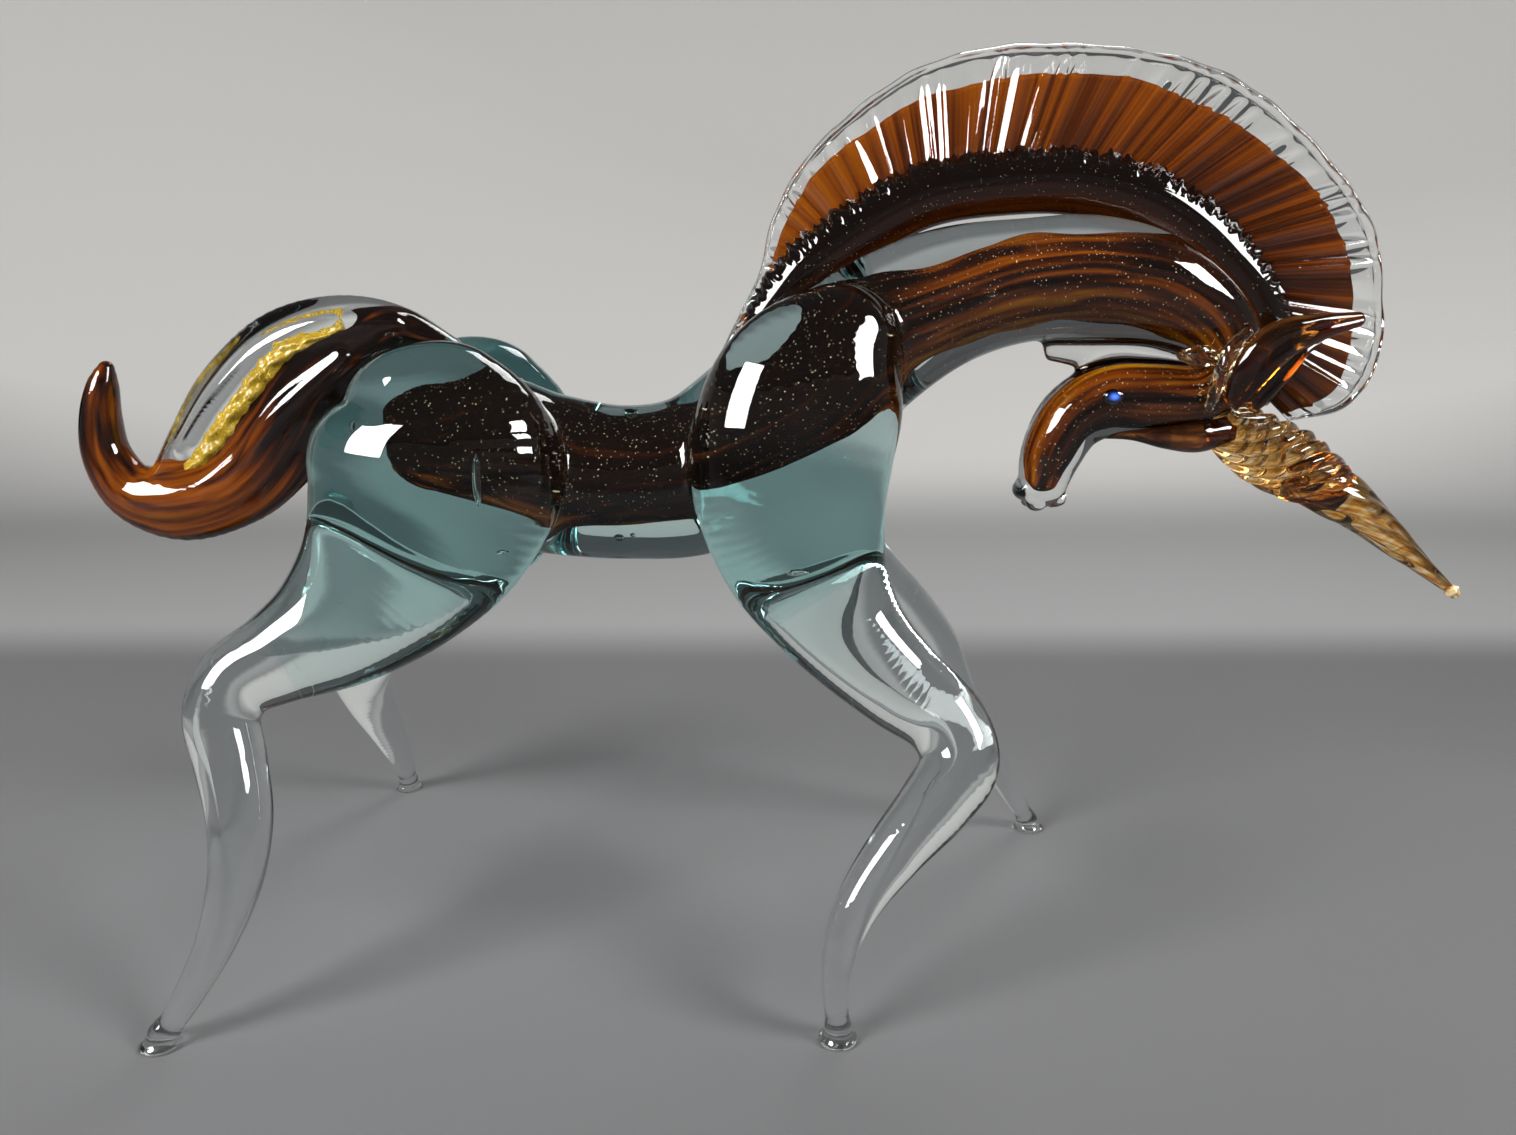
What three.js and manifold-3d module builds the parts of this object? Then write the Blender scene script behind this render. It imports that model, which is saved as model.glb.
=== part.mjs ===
// Hot-sculpted glass unicorn. An amber core cased in pale aqua glass makes the barrel, arched neck
// and tucked head. Haunches, shoulders, legs, mane, horn, ears and tail are gathers fused onto it.
// Millimetres. +Z is up and +X is towards the horn. The right side of the animal faces -Y.

import * as THREE from "three";
import { mergeVertices } from "three/addons/utils/BufferGeometryUtils.js";
import Module from "manifold-3d";

const wasm = await Module();
wasm.setup();

// Driving dimensions.
const GAP = 0.3; // left between two gathers that touch
const MIDDLE = 2; // Y of the plane that the spine, tail, mane and horn lie in
const SIDES = 12; // facets around a rod of glass
const THIN_SIDES = 8; // and around a thin one
const STEPS = 2; // facets along it, for each station
const CAP_RINGS = 2; // rings in a rounded end
const SMOOTHNESS = 0.06; // how far a facet may stand off the curved surface
const FIN_THICKNESS = 5.4;
const FIN_AMBER_THICKNESS = 2.6;
const FIN_FACETS = 40; // along its outer edge
const FOOT_PAD = { radius: 4, edge: 0.9, dome: 2.6, neck: 2.3, height: 3.4 };

// Glass colours.
const GLASS = {
  aqua: { color: 0x8fb9b5, opacity: 0.5 },
  clear: { color: 0xc9d8d6, opacity: 0.35 },
  amber: { color: 0x9a5410, opacity: 0.8 },
  umber: { color: 0x2a0d05, opacity: 0.95 },
  gold: { color: 0xb98a1c, opacity: 0.7 },
  blue: { color: 0x123c9c, opacity: 1 },
};

// Rods of glass. Each station is [x, y, z, girth, depth]: a point on the centreline with the radius
// there in the line's own upright plane, and the radius across it.
const SPINE = [
  [-80, MIDDLE, 103, 13, 13],
  [-62, MIDDLE, 104, 18, 17],
  [-45, MIDDLE, 100, 17, 16.5],
  [-28, MIDDLE, 98, 16.3, 16],
  [-12, MIDDLE, 100, 17, 16.5],
  [6, MIDDLE, 112.5, 17.5, 17],
  [21.5, MIDDLE, 127, 16, 15.5],
  [38, MIDDLE, 136, 14, 13.5],
  [54, MIDDLE, 139.5, 12.4, 13],
  [70, MIDDLE, 140, 12.4, 12.5],
  [84, MIDDLE, 137.5, 10.6, 12],
  [95, MIDDLE, 130.5, 7.6, 10],
  [98.5, MIDDLE, 122, 6.4, 8.5],
  [92, MIDDLE, 116.4, 6.8, 8.2],
  [82, MIDDLE, 116, 7.6, 8.2],
  [73, MIDDLE, 115.5, 7.8, 8],
  [66, MIDDLE, 111.5, 7.2, 7.2],
  [62, MIDDLE, 104, 6.3, 6.3],
  [60.5, MIDDLE, 97.5, 5, 5.2],
];
const CORE = [
  [-66, MIDDLE, 105, 8, 8],
  [-55, MIDDLE, 104.5, 10.5, 10],
  [-43, MIDDLE, 101.5, 9.5, 9.5],
  [-28, MIDDLE, 100, 7.8, 8.5],
  [-12, MIDDLE, 102, 8, 8.5],
  [6, MIDDLE, 113, 8.4, 8.5],
  [22, MIDDLE, 125.5, 7.6, 8],
  [38, MIDDLE, 134, 6, 7],
  [54, MIDDLE, 139.5, 5.6, 6.5],
  [70, MIDDLE, 140.5, 5.6, 6.5],
  [84, MIDDLE, 138, 5.4, 6],
  [95, MIDDLE, 130.5, 4.6, 5.2],
  [98.2, MIDDLE, 122, 4, 4.8],
  [92, MIDDLE, 116.6, 4.2, 4.8],
  [82, MIDDLE, 116.2, 4.4, 4.8],
  [73, MIDDLE, 116, 4.2, 4.6],
  [66, MIDDLE, 112, 3.8, 4.2],
  [61.5, MIDDLE, 104, 3.2, 3.6],
];
// The stations of the spine, and of its core, where barrel turns to neck and neck to head.
const WITHERS = 5;
const POLL = 12;

const RIGHT_HAUNCH = [
  [-65, -13, 117, 16, 10.5],
  [-63, -15, 105.5, 24.5, 14],
  [-66, -16, 94, 23, 14],
  [-73, -18, 82.5, 18, 13],
  [-83, -21, 73, 13, 10.8],
  [-93, -24.5, 67.5, 9.3, 8.8],
];
const RIGHT_HIND_LEG = [
  [-100.5, -27.5, 63.5, 7.8, 7.6],
  [-103, -30, 57.5, 7, 7],
  [-100.8, -33, 49, 6.5, 6.4],
  [-98.2, -37, 39, 5.9, 5.8],
  [-98.4, -41, 28, 4.9, 4.9],
  [-101.6, -45, 17, 3.6, 3.6],
  [-106.2, -48.2, 8, 2.7, 2.7],
  [-109, -49.5, 3.6, 2.3, 2.3],
];
const LEFT_HAUNCH = [
  [-63, 17, 118, 15, 10.5],
  [-63, 19, 105.5, 24, 14],
  [-67, 21, 93, 22.5, 14],
  [-74, 25, 82, 18, 13],
  [-85, 31.5, 69.5, 13.5, 11.5],
  [-95, 37.5, 58.5, 11, 10],
];
const LEFT_HIND_LEG = [
  [-103, 43, 47.5, 9, 8.6],
  [-104.5, 50, 35, 6.5, 6.3],
  [-102.5, 57, 22, 4.6, 4.6],
  [-101, 63.5, 10, 3, 3],
  [-101, 66.8, 3.6, 2.3, 2.3],
];
const RIGHT_SHOULDER = [
  [17, -12, 129, 11, 9],
  [11, -14, 119.5, 18.3, 12],
  [7, -15, 108.5, 20, 13],
  [6.5, -16.5, 97, 18.8, 12.5],
  [9, -18, 86.5, 16.3, 12],
  [13, -19.5, 78.5, 13.6, 11.3],
];
const RIGHT_FORELEG = [
  [18.8, -21.5, 70.5, 11.2, 10.2],
  [27.5, -25, 62.3, 9.3, 8.8],
  [36, -29, 56, 8, 7.6],
  [38.6, -33, 49, 7.5, 7.2],
  [33.6, -37, 42.5, 6.8, 6.6],
  [26, -41, 35, 5.6, 5.4],
  [18.8, -45, 26.5, 4.3, 4.3],
  [15, -47.6, 18, 3.3, 3.3],
  [14.2, -48.4, 10, 2.5, 2.5],
  [14.9, -48.4, 3.6, 2.1, 2.1],
];
const LEFT_SHOULDER = [
  [17, 16, 129, 11, 9],
  [11, 18, 119.5, 18.3, 12],
  [7, 19, 108.5, 20, 13],
  [6.5, 20.5, 97, 18.8, 12.5],
  [9.5, 22, 86.5, 16.3, 12],
  [16, 23.7, 77.5, 13, 11.3],
];
const LEFT_FORELEG = [
  [25, 26, 70.5, 10.5, 10],
  [34.5, 28.5, 62.5, 8.6, 8.4],
  [41.5, 31, 54, 7.6, 7.2],
  [47, 33.2, 44, 6.4, 6.2],
  [53, 35.3, 33.5, 5, 5],
  [59.5, 37.5, 22.5, 3.8, 3.8],
  [66, 39.8, 11.5, 2.8, 2.8],
  [71, 41.3, 3.6, 2.2, 2.2],
];

const TAIL = [
  [-64, MIDDLE, 125.5, 3, 4],
  [-74, MIDDLE, 129.5, 5, 6],
  [-85, MIDDLE, 128.5, 8.5, 7],
  [-95.5, MIDDLE, 122.5, 12.5, 7.5],
  [-104, MIDDLE, 112, 15, 7.5],
  [-113, MIDDLE, 101.5, 13.5, 7],
  [-123.5, MIDDLE, 94.3, 9, 6.5],
  [-133, MIDDLE, 96, 6.2, 5.6],
  [-137.8, MIDDLE, 103.5, 4.9, 4.7],
  [-138.3, MIDDLE, 111.5, 4.1, 4],
  [-137, MIDDLE, 118.5, 3, 3],
  [-135.9, MIDDLE, 122, 1.6, 1.6],
];
const TAIL_CURL_AT = 6.5; // station where the plume turns up into the curl
const TAIL_CREST = [
  [-66, MIDDLE, 133, 4.5, 12],
  [-80, MIDDLE, 138, 6, 12],
  [-97, MIDDLE, 133.5, 7, 12],
  [-109, MIDDLE, 122, 7, 12],
  [-118, MIDDLE, 110, 6, 12],
  [-126, MIDDLE, 103, 3.5, 12],
];

const MANE_ROPE = [
  [2, MIDDLE, 134.5, 4.5, 5.5],
  [8.5, MIDDLE, 141, 5.5, 6],
  [19, MIDDLE, 149, 6, 6.5],
  [33.5, MIDDLE, 156, 6.2, 7],
  [49, MIDDLE, 158.5, 6.2, 7],
  [65, MIDDLE, 158.5, 6.2, 7],
  [79.5, MIDDLE, 154.5, 6.2, 7],
  [92, MIDDLE, 146.3, 6, 7],
  [101, MIDDLE, 136.5, 5.5, 6.5],
  [105.5, MIDDLE, 126, 5, 6],
  [104.5, MIDDLE, 118, 4, 5],
];
// The fin's rim, and the edge of the amber inside it, as [x, z] points from withers to poll.
const FIN_RIM = [
  [-11, 123.6],
  [-4.5, 138],
  [0.5, 150],
  [3.5, 161.5],
  [14.3, 171.8],
  [33.9, 183.2],
  [50, 185.4],
  [79, 185.1],
  [103, 175.8],
  [121.2, 160.6],
  [129.3, 143.5],
  [129.6, 125.5],
  [122, 114],
  [110, 109.5],
];
const FIN_AMBER = [
  [3, 134],
  [5.5, 146],
  [9, 156],
  [16, 166.5],
  [34, 176],
  [50, 178.3],
  [82, 177.3],
  [101, 170],
  [118, 156],
  [124, 141],
  [124, 121.5],
  [115, 114.2],
  [108, 114],
];
const FIN_ROOT = [
  [101, 121],
  [100, 136],
  [89, 147],
  [72, 154],
  [49, 155],
  [24, 147],
  [8, 134],
];

const HORN_COLLAR = [
  [98, MIDDLE, 110.5, 5.5, 5.5],
  [105, MIDDLE, 106, 7, 6.6],
  [113, MIDDLE, 102, 7.2, 6.8],
  [120.5, MIDDLE, 98.6, 5.6, 5.6],
];
const HORN_SPIKE = [
  [124, MIDDLE, 96, 5.6, 5.2],
  [131, MIDDLE, 90.3, 4.3, 4.2],
  [140.5, MIDDLE, 82.6, 2.7, 2.7],
  [149, MIDDLE, 75.8, 1.2, 1.2],
];
const HORN_TIP = { at: [150.9, MIDDLE, 74.2], radius: 1.6 };
const HORN_TRAIL = [
  [70, MIDDLE, 107.6, 0.9, 1],
  [78, MIDDLE, 107.4, 1.6, 1.8],
  [86, MIDDLE, 106.3, 3.2, 3.4],
  [94, MIDDLE, 106.3, 4.2, 4.4],
];
const EAR = [
  [95.5, -8.5, 116, 3, 2.6],
  [98.5, -10, 122.5, 4, 3],
  [102.5, -10.5, 127.8, 4.2, 3.2],
  [109.5, -9.6, 130, 3.1, 2.8],
  [118.5, -8.6, 132, 1.4, 1.4],
];
const FORELOCK = [
  [101, -6.5, 115.5, 3, 2.6],
  [106, -7, 121, 2.6, 2.4],
  [112.5, -6.4, 127.2, 1.4, 1.4],
];
const THROAT_WEB = [
  [61, MIDDLE, 126, 2.6, 1.6],
  [70, MIDDLE, 125.4, 3.6, 2.2],
  [80, MIDDLE, 125.6, 3.6, 2.6],
  [88, MIDDLE, 126, 3.4, 3],
];
const THROAT_BEAD = { at: [89.5, -5, 124.6], radius: 2.6 };
const EYE = { at: [72.3, -5.9, 116.5], radius: 1.7, height: 1.4 };

const FEET = {
  rightHind: [-110.5, -50, 0],
  rightFore: [14.9, -48.4, 0],
  leftHind: [-101, 68, 0],
  leftFore: [72, 41.6, 0],
};

// Solids.

// A closed three.js geometry as a manifold-3d solid.
function solidOf(geometry) {
  const bare = geometry.index ? geometry.toNonIndexed() : geometry.clone();
  bare.deleteAttribute("normal");
  bare.deleteAttribute("uv");
  const merged = mergeVertices(bare, 1e-4);
  const corners = merged.index.array;
  const kept = [];
  for (let i = 0; i < corners.length; i += 3) {
    const [a, b, c] = corners.subarray(i, i + 3);
    if (a !== b && b !== c && c !== a) kept.push(a, b, c);
  }
  return new wasm.Manifold(
    new wasm.Mesh({
      numProp: 3,
      vertProperties: merged.attributes.position.array,
      triVerts: new Uint32Array(kept),
    }),
  );
}

// The rings of a rod as a profile to turn: radius against place, where 0 to 1 is the rod itself
// and 1 more at each end is a rounded cap.
function rodProfile(rings, roundStart, roundEnd) {
  const profile = [];
  const cap = (k) => ((k / CAP_RINGS) * Math.PI) / 2;
  const point = (radius, place) => profile.push(new THREE.Vector2(radius, place));
  point(0, roundStart ? -1 : 0);
  for (let k = 1; roundStart && k < CAP_RINGS; k++) point(Math.sin(cap(k)), -Math.cos(cap(k)));
  for (let k = 0; k <= rings; k++) point(1, k / rings);
  for (let k = 1; roundEnd && k < CAP_RINGS; k++) point(Math.cos(cap(k)), 1 + Math.sin(cap(k)));
  point(0, roundEnd ? 2 : 1);
  return profile;
}

// A turned profile bent along the stations' smooth line. from and to pick a stretch by station,
// with a flat cut where it leaves off, and grow swells the whole rod.
function rod(stations, { from = 0, to = stations.length - 1, grow = 0, sides = SIDES } = {}) {
  const last = stations.length - 1;
  const line = new THREE.CatmullRomCurve3(stations.map((s) => new THREE.Vector3(...s)));
  const radii = new THREE.CatmullRomCurve3(stations.map((s) => new THREE.Vector3(s[3], s[4], 0)));
  const rings = Math.max(2, Math.round((to - from) * STEPS));
  const shape = new THREE.LatheGeometry(rodProfile(rings, from === 0, to === last), sides);
  const start = from === 0 ? 0 : from - grow / stationLength(line, from);
  const end = to === last ? last : to + grow / stationLength(line, to);
  const place = shape.attributes.position;
  for (let i = 0; i < place.count; i++) {
    const along = THREE.MathUtils.clamp(place.getY(i), 0, 1);
    const station = along === 0 ? start : along === 1 ? end : THREE.MathUtils.lerp(from, to, along);
    const at = station / last;
    const tangent = line.getTangent(at);
    const across = tangent.clone().cross(new THREE.Vector3(0, 1, 0)).normalize();
    const deep = across.clone().cross(tangent);
    const { x: girth, y: depth } = radii.getPoint(at);
    const capLength = Math.min(girth, depth) + grow;
    const point = line
      .getPoint(at)
      .addScaledVector(tangent, (place.getY(i) - along) * capLength)
      .addScaledVector(across, place.getX(i) * (girth + grow))
      .addScaledVector(deep, place.getZ(i) * (depth + grow));
    place.setXYZ(i, point.x, point.y, point.z);
  }
  return solidOf(shape);
}

const thinRod = (stations, grow = 0) => rod(stations, { grow, sides: THIN_SIDES });

// How many millimetres of line there are to a station, near the one given.
function stationLength(line, station) {
  const stations = line.points.length - 1;
  const step = 0.01;
  const before = line.getPoint((station - step) / stations);
  const after = line.getPoint((station + step) / stations);
  return before.distanceTo(after) / (2 * step);
}

// A flat sheet in the middle plane, between a smooth outer edge of [x, z] points and the root.
function sheet(edge, thickness) {
  const spline = new THREE.SplineCurve(edge.map((p) => new THREE.Vector2(...p)));
  const root = FIN_ROOT.map((p) => new THREE.Vector2(...p));
  const outline = new THREE.Shape([...spline.getPoints(FIN_FACETS), ...root]);
  const plate = new THREE.ExtrudeGeometry(outline, { depth: thickness, bevelEnabled: false });
  plate.rotateX(Math.PI / 2);
  plate.translate(0, MIDDLE + thickness / 2, 0);
  return solidOf(plate);
}

// A ball, which may be squashed along Y.
function ball([x, y, z], radius, depth = radius) {
  const shape = new THREE.SphereGeometry(1, THIN_SIDES, THIN_SIDES / 2 + 1);
  shape.scale(radius, depth, radius);
  shape.translate(x, y, z);
  return solidOf(shape);
}

// A foot: a drop pressed flat on the marver, with a thin turned-out skirt.
function pad([x, y, z], grow) {
  const { radius, edge, dome, neck, height } = FOOT_PAD;
  const profile = [
    [0, 0],
    [radius - 0.4 + grow, 0],
    [radius + grow, edge / 2],
    [radius - 0.7 + grow, edge + grow],
    [dome + grow, 1.6 + grow],
    [neck + grow, height - 0.7 + grow],
    [0, height + grow],
  ].map(([r, up]) => new THREE.Vector2(r, up));
  const turned = new THREE.LatheGeometry(profile, SIDES);
  turned.rotateX(Math.PI / 2);
  turned.translate(x, y, z);
  return solidOf(turned);
}

// The same place, or the same rod, on the other side of the animal.
const acrossFrom = ([x, y, ...rest]) => [x, 2 * MIDDLE - y, ...rest];
const mirrored = (stations) => stations.map(acrossFrom);

// The pieces. Each is cut away, with a gap, where it meets the ones named after it.

const pieces = {};
const grown = {};

// shape makes the solid, swollen by a given amount.
function place(name, glass, shape, ...neighbours) {
  const solid = less(shape(0), neighbours);
  pieces[name] = { glass, solid };
  grown[name] = shape(GAP).add(solid);
}

// What is left of a solid outside its neighbours, without any sliver that a cut leaves loose.
function less(solid, neighbours) {
  return largest(neighbours.reduce((rest, name) => rest.subtract(grown[name]), solid));
}

function largest(solid) {
  return solid.decompose().reduce((best, body) => (body.volume() > best.volume() ? body : best));
}

// The cased rod, drawn out into barrel, neck and head. The core runs from one into the next.
grown.core = rod(CORE, { grow: GAP });
grown.spine = rod(SPINE, { grow: GAP });
place("barrel_core", "umber", (grow) => rod(CORE, { to: WITHERS, grow }));
place("neck_core", "amber", (grow) => rod(CORE, { from: WITHERS, to: POLL, grow }), "barrel_core");
place("head_core", "amber", (grow) => rod(CORE, { from: POLL, grow }), "neck_core");
place("barrel_casing", "aqua", (grow) => rod(SPINE, { to: WITHERS, grow }), "core");
place(
  "neck_casing",
  "clear",
  (grow) => rod(SPINE, { from: WITHERS, to: POLL, grow }),
  "core",
  "barrel_casing",
);
place("head_casing", "clear", (grow) => rod(SPINE, { from: POLL, grow }), "core", "neck_casing");

// A gather fused onto the body, with the leg drawn out of its lower end and the foot under that.
function limb(foot, gather, leg, at, body, drawn) {
  const whole = [...body, ...drawn];
  const join = body.length - 1;
  place(foot, "clear", (grow) => pad(at, grow));
  place(gather, "aqua", (grow) => rod(whole, { to: join, grow }), "spine");
  place(leg, "clear", (grow) => rod(whole, { from: join, grow }), gather, "spine", foot);
}

limb("right_hind_foot", "right_haunch", "right_hind_leg", FEET.rightHind, RIGHT_HAUNCH, RIGHT_HIND_LEG);
limb("left_hind_foot", "left_haunch", "left_hind_leg", FEET.leftHind, LEFT_HAUNCH, LEFT_HIND_LEG);
limb("right_fore_foot", "right_shoulder", "right_foreleg", FEET.rightFore, RIGHT_SHOULDER, RIGHT_FORELEG);
limb("left_fore_foot", "left_shoulder", "left_foreleg", FEET.leftFore, LEFT_SHOULDER, LEFT_FORELEG);

// The tail: an amber plume under a clear gold crest, turning up into a curl.
const onRump = ["spine", "right_haunch", "left_haunch"];
const plume = (grow) => rod(TAIL, { to: TAIL_CURL_AT, grow });
const crest = (grow) => rod(TAIL_CREST, { grow });
place("tail_crest", "gold", (grow) => plume(grow).intersect(crest(grow)), ...onRump);
place("tail_plume", "amber", plume, "tail_crest", ...onRump);
place("tail_curl", "amber", (grow) => rod(TAIL, { from: TAIL_CURL_AT, grow }), "tail_plume", "tail_crest");

place("mane_rope", "umber", (grow) => rod(MANE_ROPE, { grow }), "spine");
place("horn_collar", "amber", (grow) => rod(HORN_COLLAR, { grow }), "spine", "mane_rope");
place("horn_spike", "amber", (grow) => thinRod(HORN_SPIKE, grow), "horn_collar");
place("horn_tip", "gold", (grow) => ball(HORN_TIP.at, HORN_TIP.radius + grow), "horn_spike");
place("horn_trail", "umber", (grow) => thinRod(HORN_TRAIL, grow), "spine", "horn_collar");

const onPoll = ["spine", "mane_rope", "horn_collar"];
place("right_ear", "amber", (grow) => thinRod(EAR, grow), ...onPoll);
place("left_ear", "amber", (grow) => thinRod(mirrored(EAR), grow), ...onPoll);
place("forelock", "amber", (grow) => thinRod(FORELOCK, grow), ...onPoll, "right_ear");

// A thin web of glass drawn across the throat, and the bead that closes it.
place("throat_bead", "gold", (grow) => ball(THROAT_BEAD.at, THROAT_BEAD.radius + grow), "spine");
place("throat_web", "clear", (grow) => thinRod(THROAT_WEB, grow), "spine", "throat_bead");

place("right_eye", "blue", (grow) => ball(EYE.at, EYE.radius + grow, EYE.height + grow), "spine");
place("left_eye", "blue", (grow) => ball(acrossFrom(EYE.at), EYE.radius + grow, EYE.height + grow), "spine");

// The combed fin: clear glass with an amber sheet let into it, open along the root.
const aroundFin = ["spine", "mane_rope", "horn_collar", "right_ear", "left_ear", "forelock"];
const onWithers = ["right_shoulder", "left_shoulder"];
place("mane_amber", "amber", (grow) => sheet(FIN_AMBER, FIN_AMBER_THICKNESS + 2 * grow), ...aroundFin);
place("mane_fin", "clear", () => sheet(FIN_RIM, FIN_THICKNESS), ...aroundFin, ...onWithers, "mane_amber");

// The scene graph: one named mesh for each piece, with the origin under the middle of its box.
function meshOf(name, { glass, solid }) {
  const { vertProperties, triVerts } = largest(solid.simplify(SMOOTHNESS)).getMesh();
  const geometry = new THREE.BufferGeometry()
    .setAttribute("position", new THREE.BufferAttribute(vertProperties, 3))
    .setIndex(new THREE.BufferAttribute(triVerts, 1));
  geometry.computeVertexNormals();
  const { color, opacity } = GLASS[glass];
  const material = new THREE.MeshStandardMaterial({
    color,
    opacity,
    transparent: opacity < 1,
    roughness: 0.03,
    metalness: 0,
  });
  const mesh = new THREE.Mesh(geometry, material);
  mesh.name = name;
  return mesh;
}

const unicorn = new THREE.Group();
for (const [name, piece] of Object.entries(pieces)) unicorn.add(meshOf(name, piece));
const box = new THREE.Box3().setFromObject(unicorn);
const centre = box.getCenter(new THREE.Vector3());
unicorn.position.set(-centre.x, -centre.y, -box.min.z);

export default unicorn;
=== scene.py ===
"""A hot-sculpted glass unicorn: an amber core cased in pale aqua glass, on a plain table."""

import math

import bmesh
import bpy
import numpy as np
import openvdb
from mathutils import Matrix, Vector


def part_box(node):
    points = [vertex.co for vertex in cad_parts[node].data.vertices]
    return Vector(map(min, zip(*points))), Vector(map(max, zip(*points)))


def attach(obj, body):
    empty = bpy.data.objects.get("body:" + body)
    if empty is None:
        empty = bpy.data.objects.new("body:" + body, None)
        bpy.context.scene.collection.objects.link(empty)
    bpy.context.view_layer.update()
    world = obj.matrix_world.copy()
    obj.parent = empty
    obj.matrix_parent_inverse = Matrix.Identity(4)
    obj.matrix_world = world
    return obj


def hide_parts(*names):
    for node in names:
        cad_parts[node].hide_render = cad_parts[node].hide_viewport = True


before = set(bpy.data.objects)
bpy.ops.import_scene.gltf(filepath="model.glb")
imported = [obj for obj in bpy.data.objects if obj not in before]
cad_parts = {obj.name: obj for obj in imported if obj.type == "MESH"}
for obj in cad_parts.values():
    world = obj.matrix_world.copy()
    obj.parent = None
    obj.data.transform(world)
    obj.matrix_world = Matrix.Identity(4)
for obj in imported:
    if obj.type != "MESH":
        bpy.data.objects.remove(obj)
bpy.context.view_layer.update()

MM = 0.001
MIDDLE = 2.0  # mm, Y of the plane that the spine, tail, mane and horn lie in


def in_plane(*rows):
    """The stations of a rod in that plane, from x, z and its two radii at each."""
    return [(x, MIDDLE, z, girth, depth) for x, z, girth, depth in rows]


# Rods of glass, in mm: x, y, z of the centreline, then the radius in its upright plane and across.
# Those in the middle plane leave out y.
SPINE = in_plane(
    (-80, 103, 13, 13),
    (-62, 104, 18, 17),
    (-45, 100, 17, 16.5),
    (-28, 98, 16.3, 16),
    (-12, 100, 17, 16.5),
    (6, 112.5, 17.5, 17),
    (21.5, 127, 16, 15.5),
    (38, 136, 14, 13.5),
    (54, 139.5, 12.4, 13),
    (70, 140, 12.4, 12.5),
    (84, 137.5, 10.6, 12),
    (95, 130.5, 7.6, 10),
    (98.5, 122, 6.4, 8.5),
    (92, 116.4, 6.8, 8.2),
    (82, 116, 7.6, 8.2),
    (73, 115.5, 7.8, 8),
    (66, 111.5, 7.2, 7.2),
    (62, 104, 6.3, 6.3),
    (60.5, 97.5, 5, 5.2),
)
RIGHT_HIND = [
    (-65, -13, 117, 16, 10.5),
    (-63, -15, 105.5, 24.5, 14),
    (-66, -16, 94, 23, 14),
    (-73, -18, 82.5, 18, 13),
    (-83, -21, 73, 13, 10.8),
    (-93, -24.5, 67.5, 9.3, 8.8),
    (-100.5, -27.5, 63.5, 7.8, 7.6),
    (-103, -30, 57.5, 7, 7),
    (-100.8, -33, 49, 6.5, 6.4),
    (-98.2, -37, 39, 5.9, 5.8),
    (-98.4, -41, 28, 4.9, 4.9),
    (-101.6, -45, 17, 3.6, 3.6),
    (-106.2, -48.2, 8, 2.7, 2.7),
    (-109, -49.5, 3.6, 2.3, 2.3),
]
LEFT_HIND = [
    (-63, 17, 118, 15, 10.5),
    (-63, 19, 105.5, 24, 14),
    (-67, 21, 93, 22.5, 14),
    (-74, 25, 82, 18, 13),
    (-85, 31.5, 69.5, 13.5, 11.5),
    (-95, 37.5, 58.5, 11, 10),
    (-103, 43, 47.5, 9, 8.6),
    (-104.5, 50, 35, 6.5, 6.3),
    (-102.5, 57, 22, 4.6, 4.6),
    (-101, 63.5, 10, 3, 3),
    (-101, 66.8, 3.6, 2.3, 2.3),
]
RIGHT_FORE = [
    (17, -12, 129, 11, 9),
    (11, -14, 119.5, 18.3, 12),
    (7, -15, 108.5, 20, 13),
    (6.5, -16.5, 97, 18.8, 12.5),
    (9, -18, 86.5, 16.3, 12),
    (13, -19.5, 78.5, 13.6, 11.3),
    (18.8, -21.5, 70.5, 11.2, 10.2),
    (27.5, -25, 62.3, 9.3, 8.8),
    (36, -29, 56, 8, 7.6),
    (38.6, -33, 49, 7.5, 7.2),
    (33.6, -37, 42.5, 6.8, 6.6),
    (26, -41, 35, 5.6, 5.4),
    (18.8, -45, 26.5, 4.3, 4.3),
    (15, -47.6, 18, 3.3, 3.3),
    (14.2, -48.4, 10, 2.5, 2.5),
    (14.9, -48.4, 3.6, 2.1, 2.1),
]
LEFT_FORE = [
    (17, 16, 129, 11, 9),
    (11, 18, 119.5, 18.3, 12),
    (7, 19, 108.5, 20, 13),
    (6.5, 20.5, 97, 18.8, 12.5),
    (9.5, 22, 86.5, 16.3, 12),
    (16, 23.7, 77.5, 13, 11.3),
    (25, 26, 70.5, 10.5, 10),
    (34.5, 28.5, 62.5, 8.6, 8.4),
    (41.5, 31, 54, 7.6, 7.2),
    (47, 33.2, 44, 6.4, 6.2),
    (53, 35.3, 33.5, 5, 5),
    (59.5, 37.5, 22.5, 3.8, 3.8),
    (66, 39.8, 11.5, 2.8, 2.8),
    (71, 41.3, 3.6, 2.2, 2.2),
]
TAIL = in_plane(
    (-64, 125.5, 3, 4),
    (-74, 129.5, 5, 6),
    (-85, 128.5, 8.5, 7),
    (-95.5, 122.5, 12.5, 7.5),
    (-104, 112, 15, 7.5),
    (-113, 101.5, 13.5, 7),
    (-123.5, 94.3, 9, 6.5),
    (-133, 96, 6.2, 5.6),
    (-137.8, 103.5, 4.9, 4.7),
    (-138.3, 111.5, 4.1, 4),
    (-137, 118.5, 3, 3),
    (-135.9, 122, 1.6, 1.6),
)
THROAT = in_plane(
    (61, 126, 2.6, 1.6),
    (70, 125.4, 3.6, 2.2),
    (80, 125.6, 3.6, 2.6),
    (90, 126, 3.4, 3),
)
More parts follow.
